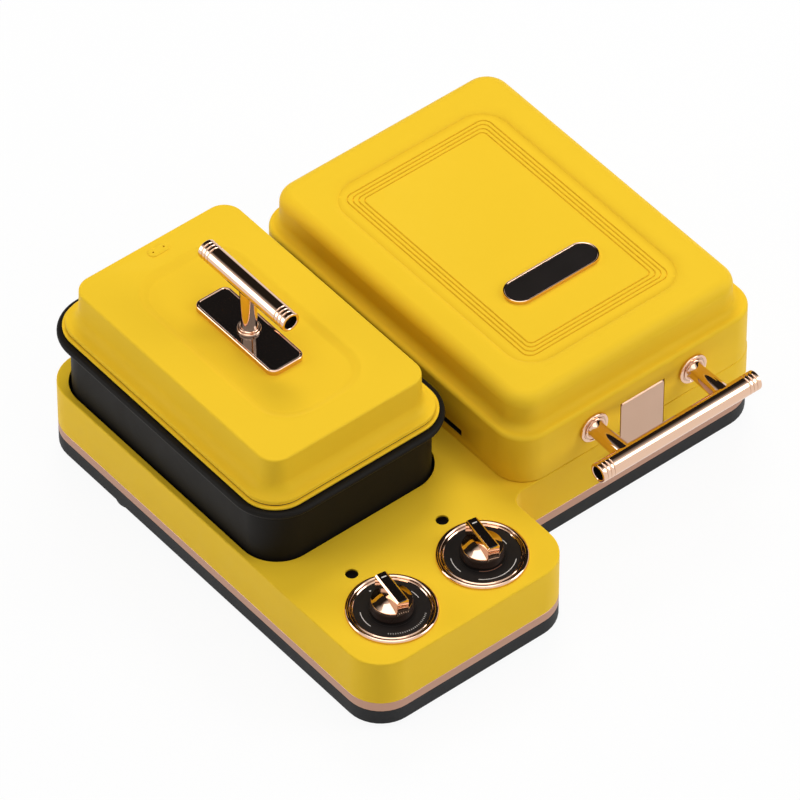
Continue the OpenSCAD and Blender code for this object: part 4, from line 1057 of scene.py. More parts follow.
@dataclass
class Dial(SubAssembly):
    """One dial with its ring, face, printed marks, lamp window and knob."""

    side: str = "left"
    spot: Point = DIAL_SPOTS[0]
    knob: Body = Body.LEFT_KNOB
    marks: tuple[Stroke, ...] = LEFT_MARKS
    copper_marks: tuple[Stroke, ...] = ()
    deck_z: float = DECK_Z
    ring_r: float = 26.2
    face_r: float = 21.5
    face_t: float = 1.0
    skirt_z: float = 54.0
    skirt_h: float = 5.8
    knob_r: float = 12.1
    cap_h: float = 4.4
    knob_top: float = 71.1
    grip: tuple[float, float] = (7.4, 24.6)
    inlay: tuple[float, float] = (4.8, 0.8)
    inlay_r: float = 0.3
    pointer_turn: float = -9.0
    marks_sunk: float = 0.01

    def ring(self) -> Shape:
        """Build a dial ring with a broad rolled edge and a thin inner lip.

        Returns:
            The ring.
        """
        z = self.deck_z
        profile = [(self.face_r, z), (self.ring_r, z), *arc((24.6, z + 0.5), 1.6, 0, 140, 12), (23.1, z + 1.15),
                   *arc((22.3, z + 1.0), 0.55, 40, 140, 5), (self.face_r, z + 1.0)]
        return Shape().lathe(profile, 96, closed=True).shift(*self.spot)

    def face(self) -> Shape:
        """Build a dial face with a shallow step round the knob.

        Returns:
            The face.
        """
        z = self.deck_z + self.face_t
        profile = [(5.0, z - 1.0), (self.face_r, z - 1.0), (self.face_r, z - 0.15), (self.face_r - 0.15, z),
                   (13.4, z), (13.2, z - 0.15), (5.0, z - 0.15)]
        return Shape().lathe(profile, 96, closed=True).shift(*self.spot)

    def printed(self, strokes: Sequence[Stroke]) -> Shape:
        """Build printed marks on the dial's face.

        Args:
            strokes: What is printed.

        Returns:
            The marks.
        """
        shape = Shape()
        for stroke in strokes:
            shape.add(stroke.shape(self.deck_z + self.face_t - self.marks_sunk))
        return shape.shift(*self.spot)

    def skirt(self) -> Shape:
        """Build a knob's skirt with fine rings turned into its wall.

        Returns:
            The skirt.
        """
        z, r, top = self.skirt_z, self.knob_r, self.skirt_z + self.skirt_h
        wall = [(r - 0.25, z), (r, z + 0.25)]
        for level in (1.3, 2.5, 3.7):
            wall += [(r, z + level - 0.18), (r - 0.16, z + level), (r, z + level + 0.18)]
        profile = [(3.0, z), *wall, *arc((r - 0.8, top - 0.8), 0.8, 0, 90, 4), (3.0, top)]
        return Shape().lathe(profile, 72, closed=True).shift(*self.spot)

    def cap(self) -> Shape:
        """Build a knob's polished disc with the grip bar on it and the seat of its inlay.

        Returns:
            The cap.
        """
        z, r, sag = self.skirt_z + self.skirt_h, self.knob_r - 0.4, 2 * self.knob_r
        turns = [math.asin((r - 0.5) / sag) * (1 - i / 8) for i in range(9)]
        crown = [(sag * math.sin(a), z + self.cap_h - sag * (1 - math.cos(a))) for a in turns]
        rim = crown[0][1]
        disc = Shape().lathe([(0.0, z), (r - 0.3, z), (r, z + 0.3), (r, rim - 0.45), (r - 0.15, rim - 0.12), *crown],
                             72)
        (width, length), (inlay_w, inlay_t), top = self.grip, self.inlay, self.knob_top
        bar = Shape().block((-width / 2, -length / 2, z + 0.1), (width / 2, length / 2, top))
        bar.soften((width - inlay_w) / 2 - 0.25, 1, 60.0, lambda e: all(v.co.z > top - 0.01 for v in e.verts)
                   and abs(e.verts[0].co.x - e.verts[1].co.x) < 0.01)
        bar.soften(0.2, 2, 40.0)
        seat = Shape().block((-inlay_w / 2, -length, top - inlay_t), (inlay_w / 2, length, top + length))
        bar.carve(seat, Carve.CUT).turn(self.pointer_turn)
        return disc.carve(bar, Carve.JOIN).shift(*self.spot)

    def inlay_bar(self) -> Shape:
        """Build the black inlay of a grip.

        Returns:
            The inlay.
        """
        shape, (width, depth), length, top = Shape(), self.inlay, self.grip[1], self.knob_top
        steps = [(0.0, top - depth), (0.0, top - 0.2), (0.08, top - 0.06), (0.2, top)]
        shape.skin([shape.rect(width - 2 * i, length - 2 * i, self.inlay_r, h, segments=3) for i, h in steps])
        return shape.turn(self.pointer_turn).shift(*self.spot)

    def tick(self) -> Shape:
        """Build the white line near the rear end of an inlay."""
        line = Shape().block((-1.5, 8.3, self.knob_top - 0.2), (1.5, 9.1, self.knob_top + 0.06)).soften(0.03, 1)
        return line.turn(self.pointer_turn).shift(*self.spot)

    def lens(self) -> Shape:
        """Build a lamp window with a slightly domed top.

        Returns:
            The window.
        """
        top = self.deck_z - 0.2
        profile = [(0.0, top - 3.2), (3.7, top - 3.2), (3.7, top - 0.9), (3.4, top - 0.65), (2.4, top - 0.25),
                   (1.2, top - 0.05), (0.0, top)]
        return Shape().lathe(profile, 40).shift(self.spot[0], LAMP_Y)

    def build(self) -> None:
        """Build and dress the dial."""
        side, knob = self.side, self.knob
        self.put(self.ring(), f"{side}_ring", Slot.ROSE_GOLD, f"{side}_dial_ring")
        self.put(self.face(), f"{side}_face", Slot.BLACK_GLOSS, f"{side}_dial_plate", finish=DIAL_BLACK)
        self.put(self.printed(self.marks), f"{side}_marks", Slot.TERMINAL_WHITE, finish=DIAL_INK)
        self.put(self.lens(), f"{side}_lamp", Slot.LAMP_DARK, f"{side}_lamp_lens")
        self.put(self.skirt(), f"{side}_knob_skirt", Slot.BROWN_GLOSS, f"{side}_skirt", body=knob)
        self.put(self.cap(), f"{side}_knob_cap", Slot.ROSE_GOLD, f"{side}_cap", body=knob)
        self.put(self.inlay_bar(), f"{side}_knob_inlay", Slot.BLACK_GLOSS, f"{side}_inlay", body=knob)
        self.put(self.tick(), f"{side}_knob_tick", Slot.TERMINAL_WHITE, finish=DIAL_INK, body=knob)
        if self.copper_marks:
            self.put(self.printed(self.copper_marks), f"{side}_inner_arc", Slot.ROSE_GOLD, finish=DIAL_INK_COPPER)


@dataclass
class GripBar:
    """A polished round bar with ring grooves near both ends and hollow ends."""

    radius: float = 6.045
    length: float = 116.0
    groove_depth: float = 0.5
    groove_width: float = 0.8
    groove_first: float = 3.0
    groove_step: float = 2.6
    groove_lip: float = 0.12
    groove_slope: float = 0.25
    groove_bed: float = 0.3
    grooves: int = 3
    hollow_r: float = 4.3
    hollow_d: float = 3.5
    hollow_edge: float = 0.3
    end_r: float = 0.6

    def shape(self) -> Shape:
        """Build the bar along Z, centred.

        Returns:
            The bar, with the faces of its hollows marked for the painted shade finish.
        """
        half, r = self.length / 2, self.radius
        hollow, edge, soft, deep = self.hollow_r, self.hollow_edge, self.end_r, r - self.groove_depth
        shoulder, slope, bed = r - self.groove_lip, self.groove_slope, self.groove_bed / 2
        end = [(0.0, self.hollow_d), (hollow, self.hollow_d), (hollow, edge), (hollow + edge, 0.0),
               *arc((r - soft, soft), soft, -90, 0, 5)]
        for i in range(self.grooves):
            middle, reach = self.groove_first + i * self.groove_step, self.groove_width / 2
            end += [(r, middle - reach - slope), (shoulder, middle - reach), (deep, middle - bed),
                    (deep, middle + bed), (shoulder, middle + reach), (r, middle + reach + slope)]
        profile = [(x, z - half) for x, z in end] + [(x, half - z) for x, z in reversed(end)]
        shape = Shape().lathe(profile, 72)
        # the hollows' faces get the painted shade finish
        for face in shape.bm.faces:
            if max(vert.co.to_2d().length for vert in face.verts) < self.hollow_r + NEAR:
                face.material_index = SECOND
        return shape


@dataclass
class PotStation(SubAssembly):
    """The black lift-off pot with its rolled rim."""

    body: Body = Body.POT
    width: float = 126.6
    length: float = 194.9
    corner_r: float = 22.0
    wall: float = 2.0
    base_z: float = 22.3
    floor: float = 2.5
    rim_z: float = 93.6
    rim_out: float = 7.4
    rim_r: float = 2.3
    inner_fillet: float = 7.0
    outer_fillet: float = 6.0

    def pot(self) -> Shape:
        """Build the pot from its inner floor over the rolled rim to its underside.

        Returns:
            The pot.
        """
        shape, outer, inner = Shape(), self.corner_r, self.corner_r - self.wall
        rim, floor_z = self.rim_z, self.base_z + self.floor
        roll = (outer + self.rim_out - self.rim_r, rim)
        steps = arc((inner - self.inner_fillet, floor_z + self.inner_fillet), self.inner_fillet, -90, 0, 8)
        steps += [(inner, rim - 1.6), (inner + 0.5, rim + 0.4), (inner + 1.6, rim + 1.35),
                  (blend(inner + 1.6, roll[0], 0.5), rim + 1.7), *arc(roll, self.rim_r, 100, -150, 14),
                  (outer + 1.6, rim - 1.7), (outer + 0.5, rim - 2.6), (outer, rim - 4.2)]
        steps += arc((outer - self.outer_fillet, self.base_z + self.outer_fillet), self.outer_fillet, 0, -90, 8)
        core = Plan(self.width - 2 * outer, self.length - 2 * outer, 0.0, POT_CENTRE, 14)
        return shape.skin(core.rings(shape, [(-x, z) for x, z in steps]))

    def build(self) -> None:
        """Build and dress the pot."""
        self.put(self.pot(), "black_pot", Slot.POT_COAT, "pot", angle=40.0)


@dataclass
class PotLid(SubAssembly):
    """The yellow domed lid with its lip, seal, vent and T-shaped handle."""

    body: Body = Body.POT_LID
    width: float = 112.6
    length: float = 180.8
    top_r: float = 12.0
    top_z: float = 125.2
    dome_z: float = 98.4
    foot_x: float = 20.1
    foot_rise: float = 2.8
    foot_r: float = 1.0
    cove_r: float = 7.7
    cove_out: float = 0.4
    edge_r: float = 1.2
    wall: float = 2.0
    ceiling: float = 2.7
    lip: tuple[float, float, float] = (22.0, 96.2, 97.7)
    lip_r: float = 0.45
    seal: tuple[float, float, float] = (19.6, 97.7, 98.4)
    skirt: tuple[float, float, float] = (13.4, 15.4, 90.5)
    dish: Plan = Plan(72.0, 144.0, 25.0, POT_CENTRE, 12)
    dish_d: float = 2.0
    dish_slope: float = 7.0
    plate: Plan = Plan(24.2, 71.5, 5.0, POT_CENTRE, 8)
    plate_top: float = 126.3
    border_top: float = 126.7
    border: float = 1.6
    border_r: float = 0.9
    bar_z: float = 160.8
    bar_l: float = 75.5
    vent: Plan = Plan(14.0, 6.5, 3.2, (POT_CENTRE[0], POT_CENTRE[1] + 81.9), 8)
    vent_hole: float = 0.6
    vent_pitch: float = 7.5

    def rings(self, shape: Shape, steps: Sequence[Point]) -> list[Ring]:
        """Make the lid's outline once for each step.

        Args:
            shape: Shape that takes the outlines.
            steps: Distances outwards from the corner centres of the lid's top, and heights.

        Returns:
            The outlines.
        """
        core = Plan(self.width - 2 * self.top_r, self.length - 2 * self.top_r, 0.0, POT_CENTRE, 12)
        return core.rings(shape, [(-x, z) for x, z in steps])

    def vent_holes(self, depth: float, height: float) -> Shape:
        """Build the tool for the two steam holes.

        Args:
            depth: How far it reaches below the lid's top.
            height: Its length.

        Returns:
            The tool.
        """
        tools, (x, y) = Shape(), self.vent.centre
        for side in (-1, 1):
            tools.drum(self.vent_hole, (x + side * self.vent_pitch / 2, y, self.top_z - depth), height, sides=20)
        return tools

    def shell(self) -> Shape:
        """Build the dome with its inside, flared foot and softly dished top.

        Returns:
            The shell.
        """
        shape, wall, foot, top, low = Shape(), self.wall, self.foot_x, self.top_z, self.dome_z
        shoulder, cove_z, soft = self.top_r + self.cove_out, low + self.foot_rise + self.cove_r, self.foot_r
        steps = [(self.top_r - wall - 0.5, top - self.ceiling), (shoulder - wall, top - self.ceiling - 1.0),
                 (shoulder - wall, cove_z), *arc((foot, cove_z), self.cove_r + wall, 186, 258, 5),
                 (foot - wall, cove_z - self.cove_r - wall), (foot - wall, low), (foot - 0.4, low), (foot, low + 0.4),
                 (foot, low + self.foot_rise - soft), *arc((foot - soft, low + self.foot_rise - soft), soft, 30, 90, 3),
                 *arc((foot, cove_z), self.cove_r, 260, 180, 10),
                 (blend(shoulder, self.top_r, 0.5), blend(cove_z, top - self.edge_r, 0.5)),
                 *arc((self.top_r - self.edge_r, top - self.edge_r), self.edge_r, 0, 90, 6)]
        slope = [(self.dish_slope * t, top - self.dish_d * (t * t * (3 - 2 * t))) for t in (i / 12 for i in range(13))]
        shape.skin(self.rings(shape, steps) + self.dish.rings(shape, slope))
        return shape.carve(self.vent_holes(4, 6), Carve.CUT)

    def lip_ring(self) -> Shape:
        """Build the thin yellow lip under the seal."""
        shape, (reach, low, high), inner, soft = Shape(), self.lip, self.skirt[1], self.lip_r
        return shape.hoop(self.rings(shape, [(inner, low), *arc((reach - soft, low + soft), soft, -90, 0, 3),
                                             *arc((reach - soft, high - soft), soft, 0, 90, 3), (inner, high)]))

    def seal_ring(self) -> Shape:
        """Build the dark seal and its skirt inside the pot."""
        shape, (reach, low, high), (inner, outer, foot) = Shape(), self.seal, self.skirt
        return shape.hoop(self.rings(shape, [
            (inner, high), (inner, foot + 0.3), (inner + 0.4, foot), (outer - 0.4, foot), (outer, foot + 0.3),
            (outer, low), (reach, low), (reach, high)]))

    def steam_vent(self) -> Shape:
        """Build the small oval vent boss with its two holes.

        Returns:
            The vent.
        """
        shape, steps = Shape(), [(0.0, 0.0), (0.0, 0.15), (0.2, 0.45), (0.6, 0.68), (1.2, 0.78), (1.8, 0.8)]
        shape.skin(self.vent.rings(shape, [(i, self.top_z + h) for i, h in steps]))
        return shape.carve(self.vent_holes(1, 4), Carve.CUT)

    def plate_border(self) -> Shape:
        """Build the rolled border of the handle's plate.

        Returns:
            The border.
        """
        shape, low, high, inner, soft = Shape(), self.top_z - self.dish_d, self.border_top, self.border, self.border_r
        steps = [(inner, low), (0.0, low), (0.0, high - soft),
                 *[(soft - x, high - soft + z) for x, z in arc((0, 0), soft, 20, 90, 4)],
                 (1.2, high - 0.1), (inner, high - 0.4)]
        return shape.hoop(self.plate.rings(shape, steps))

    def black_plate(self) -> Shape:
        """Build the black plate of the handle."""
        shape, inset, low, high = Shape(), self.border, self.top_z - self.dish_d, self.plate_top
        return shape.skin(self.plate.rings(shape, ((inset, low), (inset, high - 0.1), (inset + 0.1, high))))

    def post(self) -> Shape:
        """Build the flared post that carries the bar.

        Returns:
            The post.
        """
        base, top = self.plate_top, self.bar_z - 2.0
        profile = [(0.0, base), (6.6, base), (6.9, base + 0.3), *arc((6.2, base + 1.3), 0.7, 0, 90, 3),
                   (5.5, base + 2.0), *arc((5.35, base + 2.3), 0.3, -60, 60, 3), (4.95, base + 2.8),
                   (4.72, base + 4.2), (4.65, base + 6.5), (4.9, blend(base, top, 0.55)), (5.2, top), (0.0, top)]
        return Shape().lathe(profile, 56).shift(*POT_CENTRE)

    def bar(self) -> Shape:
        """Build the grip bar along Y."""
        return GripBar(length=self.bar_l).shape().stand(Facing.FRONT, (*POT_CENTRE, self.bar_z))

    def build(self) -> None:
        """Build and dress the pot's lid."""
        self.put(self.shell(), "lid_dome", Slot.YELLOW_SHELL, "pot_lid_shell")
        self.put(self.lip_ring(), "lid_lip", Slot.YELLOW_SHELL, "pot_lid_rim")
        self.put(self.seal_ring(), "lid_seal", Slot.SEAL_RUBBER, "pot_lid_seal")
        self.put(self.steam_vent(), "lid_vent", Slot.YELLOW_SHELL, "steam_vent")
        self.put(self.plate_border(), "lid_plate_border", Slot.ROSE_GOLD, "handle_plate_rim")
        self.put(self.black_plate(), "lid_plate", Slot.BLACK_GLOSS, "handle_plate", finish=PLATE_MIRROR)
        self.put(self.post(), "lid_post", Slot.ROSE_GOLD, "lid_handle_post")
        # the bar's hollow ends take the painted shade finish
        self.put(self.bar(), "lid_bar", Slot.ROSE_GOLD, "lid_handle_bar", second=PAINTED_HOLLOW_SHADE)


@dataclass
class PressLid(SubAssembly):
    """The hinged press lid with its plateau, sunk grooved panel, badge and front handle."""

    body: Body = Body.PRESS_LID
    centre: Point = PRESS_CENTRE
    width: float = 179.0
    length: float = 234.8
    corner_r: float = 19.4
    foot_z: float = 52.8
    shoulder_z: float = 87.6
    top_z: float = 109.6
    plateau_w: float = 164.2
    plateau_l: float = 224.4
    plateau_dy: float = 2.2
    plateau_r: float = 15.5
    edge_r: float = 8.0
    shoulder_r: float = 2.4
    cove: tuple[float, float] = (0.62, 4.4)
    panel: tuple[float, float, float] = (119.0, 179.0, 18.0)
    panel_dy: float = 1.1
    panel_z: float = 107.2
    ceiling: float = 2.8
    roll_inset: float = 31.0
    roll_r: float = 14.0
    roll_turn: float = 0.98
    grooves: int = 4
    groove_first: float = 7.2
    groove_step: float = 2.6
    groove_w: float = 1.0
    groove_d: float = 0.6
    groove_r: float = 5.9
    groove_tighten: float = 0.8
    wall: float = 2.5
    front_y: float = FRONT_WALL_Y
    handle: tuple[float, float, float] = (LATCH_X, -124.6, 70.5)
    post_pitch: float = 72.6
    bar_l: float = 116.0
    badge: Plan = Plan(65.0, 19.0, 9.45, (PRESS_CENTRE[0], PRESS_CENTRE[1] - 38.4), 14)
    badge_top: float = 109.6
    badge_face: float = 109.1
    pocket_top: float = 74.9
    pocket_wall: tuple[float, float] = (5.0, 4.5)
    side_slot: tuple[float, float, float, float] = (68.0, 58.7, 63.0, 2.0)

    def stage_ring(self, shape: Shape, t: float, z: float, inset: float = 0.0) -> Ring:
        """Make an outline between the plateau and the skirt.

        Args:
            shape: Shape that takes it.
            t: 0 at the plateau, 1 at the skirt.
            z: Height.
            inset: Distance it is drawn in.

        Returns:
            The outline's edges.
        """
        width, length = blend(self.plateau_w, self.width, t), blend(self.plateau_l, self.length, t)
        radius, shift = blend(self.plateau_r, self.corner_r, t), blend(self.plateau_dy, 0.0, t)
        centre = (self.centre[0], self.centre[1] + shift)
        return shape.rect(width - 2 * inset, length - 2 * inset, max(radius - inset, 1.0), z, centre, 14)

    def inside(self, shape: Shape) -> list[Ring]:
        """Make the inner outlines, from the ceiling down to the rim.

        Args:
            shape: Shape that takes them.

        Returns:
            The outlines.
        """
        ceiling, ledge = self.panel_z - self.ceiling, self.shoulder_z - self.wall
        steps = ((0.0, ceiling, 5.0), (0.0, ceiling - 2.0, 3.0), (0.0, ledge, 3.0), (1.0, ledge, self.wall),
                 (1.0, self.foot_z, self.wall))
        return [self.stage_ring(shape, *step) for step in steps]

    def outside(self, shape: Shape) -> list[Ring]:
        """Make the outer outlines, from the rim over the shoulder and its cove to the plateau's top.

        Args:
            shape: Shape that takes them.

        Returns:
            The outlines.
        """
        reach, (start, rise) = self.width / 2 - self.plateau_w / 2, self.cove
        low, top, turns = self.shoulder_z - self.shoulder_r, self.top_z - self.edge_r, 8
        steps = [(1.0, self.foot_z, 0.3), (1.0, self.foot_z + 0.3, 0.0)]
        steps += [(1 - (self.shoulder_r - x) / reach, low + z, 0.0) for x, z in arc((0, 0), self.shoulder_r, 0, 90, 6)]
        steps += [(start * (1 - math.sin(a)), self.shoulder_z + rise * (1 - math.cos(a)), 0.0)
                  for a in (math.radians(90 * i / turns) for i in range(turns + 1))]
        steps += [(0.0, top + z, self.edge_r - x) for x, z in arc((0, 0), self.edge_r, 0, 90, 12)]
        return [self.stage_ring(shape, *step) for step in steps]

    def sunk_panel(self, shape: Shape) -> list[Ring]:
        """Make the outlines of the soft roll into the sunk panel and of its fine grooves.

        Args:
            shape: Shape that takes them.

        Returns:
            The outlines.
        """
        (x, y), (width, length, radius), depth = self.centre, self.panel, self.top_z - self.panel_z
        start = (self.plateau_w - self.roll_inset, self.plateau_l - self.roll_inset, self.roll_r,
                 y + self.plateau_dy)
        end, rings, turns = (width, length, radius, y + self.panel_dy), [], 13
        for t in (math.sin(math.pi / 2 * i / turns) for i in range(turns + 1)):
            fall = 1 - math.sqrt(max(0.0, 1 - (self.roll_turn * t) ** 2))
            fall /= 1 - math.sqrt(1 - self.roll_turn ** 2)
            w, l, r, cy = (blend(a, b, t) for a, b in zip(start, end))
            rings.append(shape.rect(w, l, r, self.top_z - depth * fall, (x, cy), 14))
        for i in range(self.grooves):
            middle, half = self.groove_first + i * self.groove_step, self.groove_w / 2
            for inset, sunk in ((middle - half, 0.0), (middle - half * 0.3, self.groove_d),
                                (middle + half * 0.3, self.groove_d), (middle + half, 0.0)):
                corner = self.groove_r - self.groove_tighten * i - (inset - middle)
                rings.append(shape.rect(width - 2 * inset, length - 2 * inset, corner, self.panel_z - sunk,
                                        (x, y + self.panel_dy), 14))
        return rings

    def shell(self) -> Shape:
        """Build the lid's shell and cut its latch pocket and the slot in its side.

        Returns:
            The shell, with the slot's faces marked for the painted shade finish.
        """
        shape, half, back, (margin, more) = Shape(), POCKET_W / 2, self.front_y + POCKET_D, self.pocket_wall
        shape.skin(self.inside(shape) + self.outside(shape) + self.sunk_panel(shape))
        shape.carve(Shape().block((LATCH_X - half - margin, self.front_y + 1.5, self.foot_z + 0.2),
                                  (LATCH_X + half + margin, back + more, self.pocket_top + more)), Carve.JOIN)
        tools = Shape().block((LATCH_X - half, self.front_y - PAST, self.foot_z - PAST),
                              (LATCH_X + half, back, self.pocket_top))
        side, (reach, low, high, deep), y = self.centre[0] - self.width / 2, self.side_slot, self.centre[1]
        shape.carve(tools.block((side - PAST, y - reach, low), (side + deep, y + reach, high)), Carve.CUT)
        # the slot's faces get the painted shade finish
        for face in shape.bm.faces:
            spot = face.calc_center_median()
            if NEAR < spot.x - side < deep + NEAR and low - NEAR < spot.z < high + NEAR \
                    and abs(spot.y - y) < reach + NEAR:
                face.material_index = SECOND
        return shape

    def posts(self) -> Shape:
        """Build the two flanged posts of the front handle.

        Returns:
            The posts.
        """
        shape, (x, y, z) = Shape(), self.handle
        top = self.front_y - y - 2.0
        profile = [(0.0, 0.0), (9.4, 0.0), (9.7, 0.3), *arc((9.0, 1.4), 0.7, 0, 90, 4), (8.3, 2.1), (7.9, 1.75),
                   (6.9, 1.75), *arc((6.6, 2.15), 0.4, -50, 60, 3), (5.9, 2.6), (5.35, 3.6), (5.05, 6.0),
                   (5.15, 10.0), (5.8, top), (0.0, top)]
        for side in (-1, 1):
            post = Shape().lathe(profile, 56)
            shape.add(post.stand(Facing.FRONT, (x + side * self.post_pitch / 2, self.front_y, z)))
        return shape

    def bar(self) -> Shape:
        """Build the front bar along X."""
        return GripBar(length=self.bar_l).shape().stand(Facing.RIGHT, self.handle)

    def badge_border(self) -> Shape:
        """Build the thin polished border of the badge."""
        shape, low, high = Shape(), self.panel_z, self.badge_top
        return shape.hoop(self.badge.rings(shape, [
            (1.0, low), (0.0, low), (0.0, high - 0.4), (0.12, high - 0.12), (0.4, high), (0.7, high - 0.05),
            (1.0, high - 0.3)]))

    def badge_plate(self) -> Shape:
        """Build the bare black face of the badge, slightly crowned."""
        shape, low, high = Shape(), self.panel_z, self.badge_face
        return shape.skin(self.badge.rings(shape, [
            (1.0, low), (1.0, high - 0.15), (1.6, high - 0.08), (3.0, high - 0.03), (5.0, high)]))

    def build(self) -> None:
        """Build and dress the press lid."""
        # the side slot and the front bar's hollow ends take the painted shade finish
        self.put(self.shell(), "press_cover", Slot.YELLOW_SHELL, "press_shell", second=PAINTED_HOLLOW_SHADE)
        self.put(self.posts(), "front_posts", Slot.ROSE_GOLD, "handle_posts")
        self.put(self.bar(), "front_bar", Slot.ROSE_GOLD, "handle_bar", second=PAINTED_HOLLOW_SHADE)
        self.put(self.badge_border(), "badge_border", Slot.ROSE_GOLD, "badge_rim")
        self.put(self.badge_plate(), "badge_plate", Slot.BLACK_GLOSS, "badge_face", finish=DIAL_BLACK)


@dataclass
class Latch(SubAssembly):
    """The satin latch plate that hangs in the front wall."""

    body: Body = Body.LATCH
    x: float = LATCH_X
    width: float = 31.6
    low: float = 38.5
    pivot: float = 72.1
    thickness: float = 4.0
    face_y: float = -95.1
    corner_r: float = 2.2
    swing_r: float = 2.3

    def plate(self) -> Shape:
        """Build the plate with rounded corners, soft front edges and a rounded back at its pivot.

        Returns:
            The plate.
        """
        shape, high, wide = Shape(), self.pivot + self.thickness / 2, self.width
        steps = [(0.5, 0.0), (0.15, 0.15), (0.0, 0.5), (0.0, self.thickness - 0.3), (0.3, self.thickness)]
        plan = Plan(wide, high - self.low, self.corner_r, segments=8)
        shape.skin(plan.rings(shape, [(inset, -depth) for inset, depth in steps]))
        shape.stand(Facing.FRONT, (self.x, self.face_y, (self.low + high) / 2))
        round_off = Shape().block((self.x - wide, self.face_y - PAST, self.pivot),
                                  (self.x + wide, self.face_y + self.thickness + 3 * PAST, high + 3 * PAST))
        pin = (self.x - 2 * wide, self.face_y + self.thickness / 2, self.pivot)
        round_off.carve(Shape().drum(self.swing_r, pin, 4 * wide, Facing.RIGHT, 96), Carve.CUT)
        return shape.carve(round_off, Carve.CUT)

    def build(self) -> None:
        """Build and dress the latch."""
        self.put(self.plate(), "latch_tab", Slot.LATCH_METAL, "latch_plate")


# Studio


@dataclass(frozen=True)
class Softbox:
    """A rectangular softbox aimed at the object, seen in reflections or not."""

    name: str
    place: tuple[float, float, float]
    size: tuple[float, float]
    power: float
    mirrored: bool = True


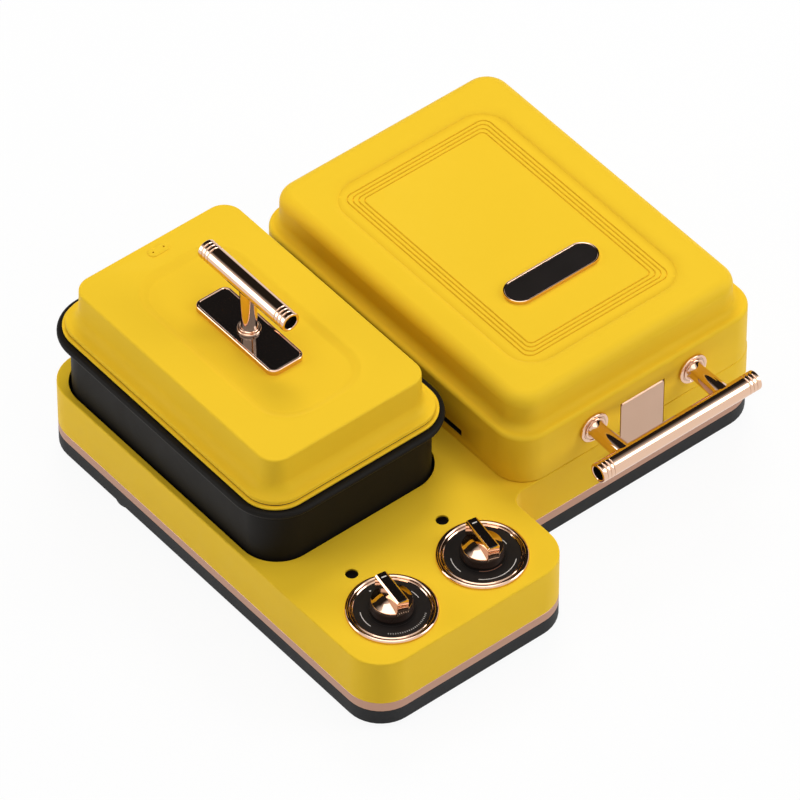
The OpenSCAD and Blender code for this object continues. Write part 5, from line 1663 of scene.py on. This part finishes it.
@dataclass
class Studio:
    """Floor, world, lamps and camera."""

    camera_at: tuple[float, float, float] = (-2.154529, -2.613909, 3.523350)
    elevation: float = 45.7866
    azimuth: float = -39.2045
    lens: float = 386.36
    sensor: float = 36.0
    clip: tuple[float, float] = (0.1, 60.0)
    target: tuple[float, float, float] = (0.0, 0.0, 0.06)
    floor_r: float = 6.0
    floor_shade: Color = (0.92, 0.92, 0.92)
    floor_color: Color = (0.94, 0.94, 0.94)
    sky: float = 0.22
    glow: float = 0.93
    white: Color = (1.0, 1.0, 1.0)
    far: Color = (0.8, 0.8, 0.8)
    flag: Color = (0.02, 0.018, 0.016)
    flag_side: tuple[float, float] = (0.63, 0.775)
    lamps: tuple[Softbox, ...] = (
        Softbox("top_softbox", (-0.3, -0.25, 1.8), (1.5, 1.3), 9.2),
        Softbox("key_softbox", (0.6, 0.78, 1.62), (0.8, 0.8), 13.0, mirrored=False),
        Softbox("left_softbox", (-1.5, 1.1, 0.7), (0.9, 1.1), 9.5),
        Softbox("right_softbox", (1.25, -1.25, 1.1), (0.9, 1.2), 14.5),
    )

    def floor_material(self) -> bpy.types.Material:
        """Build a matt floor that glows for the camera and in mirrors, and so looks nearly white.

        Returns:
            The material.
        """
        material = bpy.data.materials.new("pale_floor")
        material.use_nodes = True
        wires, nodes = Wires(material.node_tree), material.node_tree.nodes
        cloud = wires.add("TexNoise", {"Vector": wires.add("TexCoord", output="Object"), "Scale": 3.0, "Detail": 3.0})
        wires.feed(nodes["Principled BSDF"], {"Base Color": wires.mix(cloud, self.floor_shade, self.floor_color),
                                              "Roughness": 0.9, "Specular IOR Level": 0.1})
        path = wires.add("LightPath")[0]
        seen = wires.math("MAXIMUM", (path, "Is Camera Ray"), (path, "Is Glossy Ray"))
        shown = wires.math("MAXIMUM", seen, (path, "Is Transmission Ray"))
        surface = wires.choose(wires.math("MULTIPLY", shown, self.glow), (nodes["Principled BSDF"], 0),
                               wires.add("Emission", {"Color": (*self.white, 1.0), "Strength": 1.0}))
        wires.feed(nodes["Material Output"], {"Surface": surface})
        return material

    def floor(self) -> None:
        """Build the floor, on which the object's shadow still shows."""
        mesh = bpy.data.meshes.new("floor")
        made = bmesh.new()
        bmesh.ops.create_circle(made, cap_ends=True, segments=96, radius=self.floor_r)
        made.to_mesh(mesh)
        made.free()
        obj = bpy.data.objects.new("floor", mesh)
        bpy.context.scene.collection.objects.link(obj)
        mesh.materials.append(self.floor_material())

    def world(self) -> None:
        """Build an even sky, pale to the camera and white in mirrors, with one dark flag high behind the object."""
        world = bpy.data.worlds.new("studio")
        bpy.context.scene.world = world
        world.use_nodes = True
        wires, nodes = Wires(world.node_tree), world.node_tree.nodes
        parts = wires.add("SeparateXYZ", {0: wires.add("TexCoord", output="Generated")})[0]
        side = wires.math("ADD", *(wires.math("MULTIPLY", (parts, i), share) for i, share in enumerate(self.flag_side)))
        behind = wires.ramp(side, -0.05, 0.3, smooth=True)
        above, below = (wires.ramp((parts, 2), *heights, smooth=True) for heights in ((0.12, 0.3), (0.97, 0.86)))
        flag = wires.math("MULTIPLY", wires.math("MULTIPLY", above, below), behind)
        backdrop = wires.add("Background", {"Color": wires.mix(flag, self.white, self.flag), "Strength": 1.0})
        wires.feed(nodes["Background"], {"Color": (*self.white, 1.0), "Strength": self.sky})
        path = wires.add("LightPath")[0]
        mirrored = wires.math("MAXIMUM", (path, "Is Glossy Ray"), (path, "Is Transmission Ray"))
        around = wires.choose(mirrored, (nodes["Background"], 0), backdrop)
        far = wires.add("Background", {"Color": (*self.far, 1.0), "Strength": 1.0})
        wires.feed(nodes["World Output"], {"Surface": wires.choose((path, "Is Camera Ray"), around, far)})

    def lights(self) -> None:
        """Place the softboxes, each aimed at the middle of the object."""
        target = Vector(self.target)
        for box in self.lamps:
            light = bpy.data.lights.new(box.name, "AREA")
            light.shape, light.size, light.size_y, light.energy = "RECTANGLE", *box.size, box.power
            obj = bpy.data.objects.new(box.name, light)
            obj.location = box.place
            obj.rotation_euler = (target - Vector(box.place)).to_track_quat("-Z", "Y").to_euler()
            obj.visible_glossy = box.mirrored
            bpy.context.scene.collection.objects.link(obj)

    def camera(self) -> None:
        """Place the camera that stands where the photograph was taken from."""
        data = bpy.data.cameras.new("photo_camera")
        data.lens, data.sensor_width, data.sensor_fit = self.lens, self.sensor, "AUTO"
        data.clip_start, data.clip_end = self.clip
        obj = bpy.data.objects.new("photo_camera", data)
        obj.location = self.camera_at
        obj.rotation_euler = (math.radians(90 - self.elevation), 0.0, math.radians(self.azimuth))
        bpy.context.scene.collection.objects.link(obj)
        bpy.context.scene.camera = obj

    def build(self) -> None:
        """Build the whole studio."""
        bpy.context.scene.view_settings.view_transform = "Standard"
        self.floor()
        self.world()
        self.lights()
        self.camera()


def main() -> None:
    """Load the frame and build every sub-assembly."""
    logging.basicConfig(level=logging.INFO, format="%(name)s: %(message)s")
    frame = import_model()
    palette = Palette()
    LOG.info("dressed %d nodes", palette.dress_nodes(frame))
    Studio().build()
    right_dial = Dial(palette, Body.BASE, "right", DIAL_SPOTS[1], Body.RIGHT_KNOB, RIGHT_MARKS, RIGHT_COPPER)
    for part in (BaseHousing(palette), Dial(palette), right_dial, PotStation(palette), PotLid(palette),
                 PressLid(palette), Latch(palette)):
        part.build()
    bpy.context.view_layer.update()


if __name__ == "__main__":
    main()
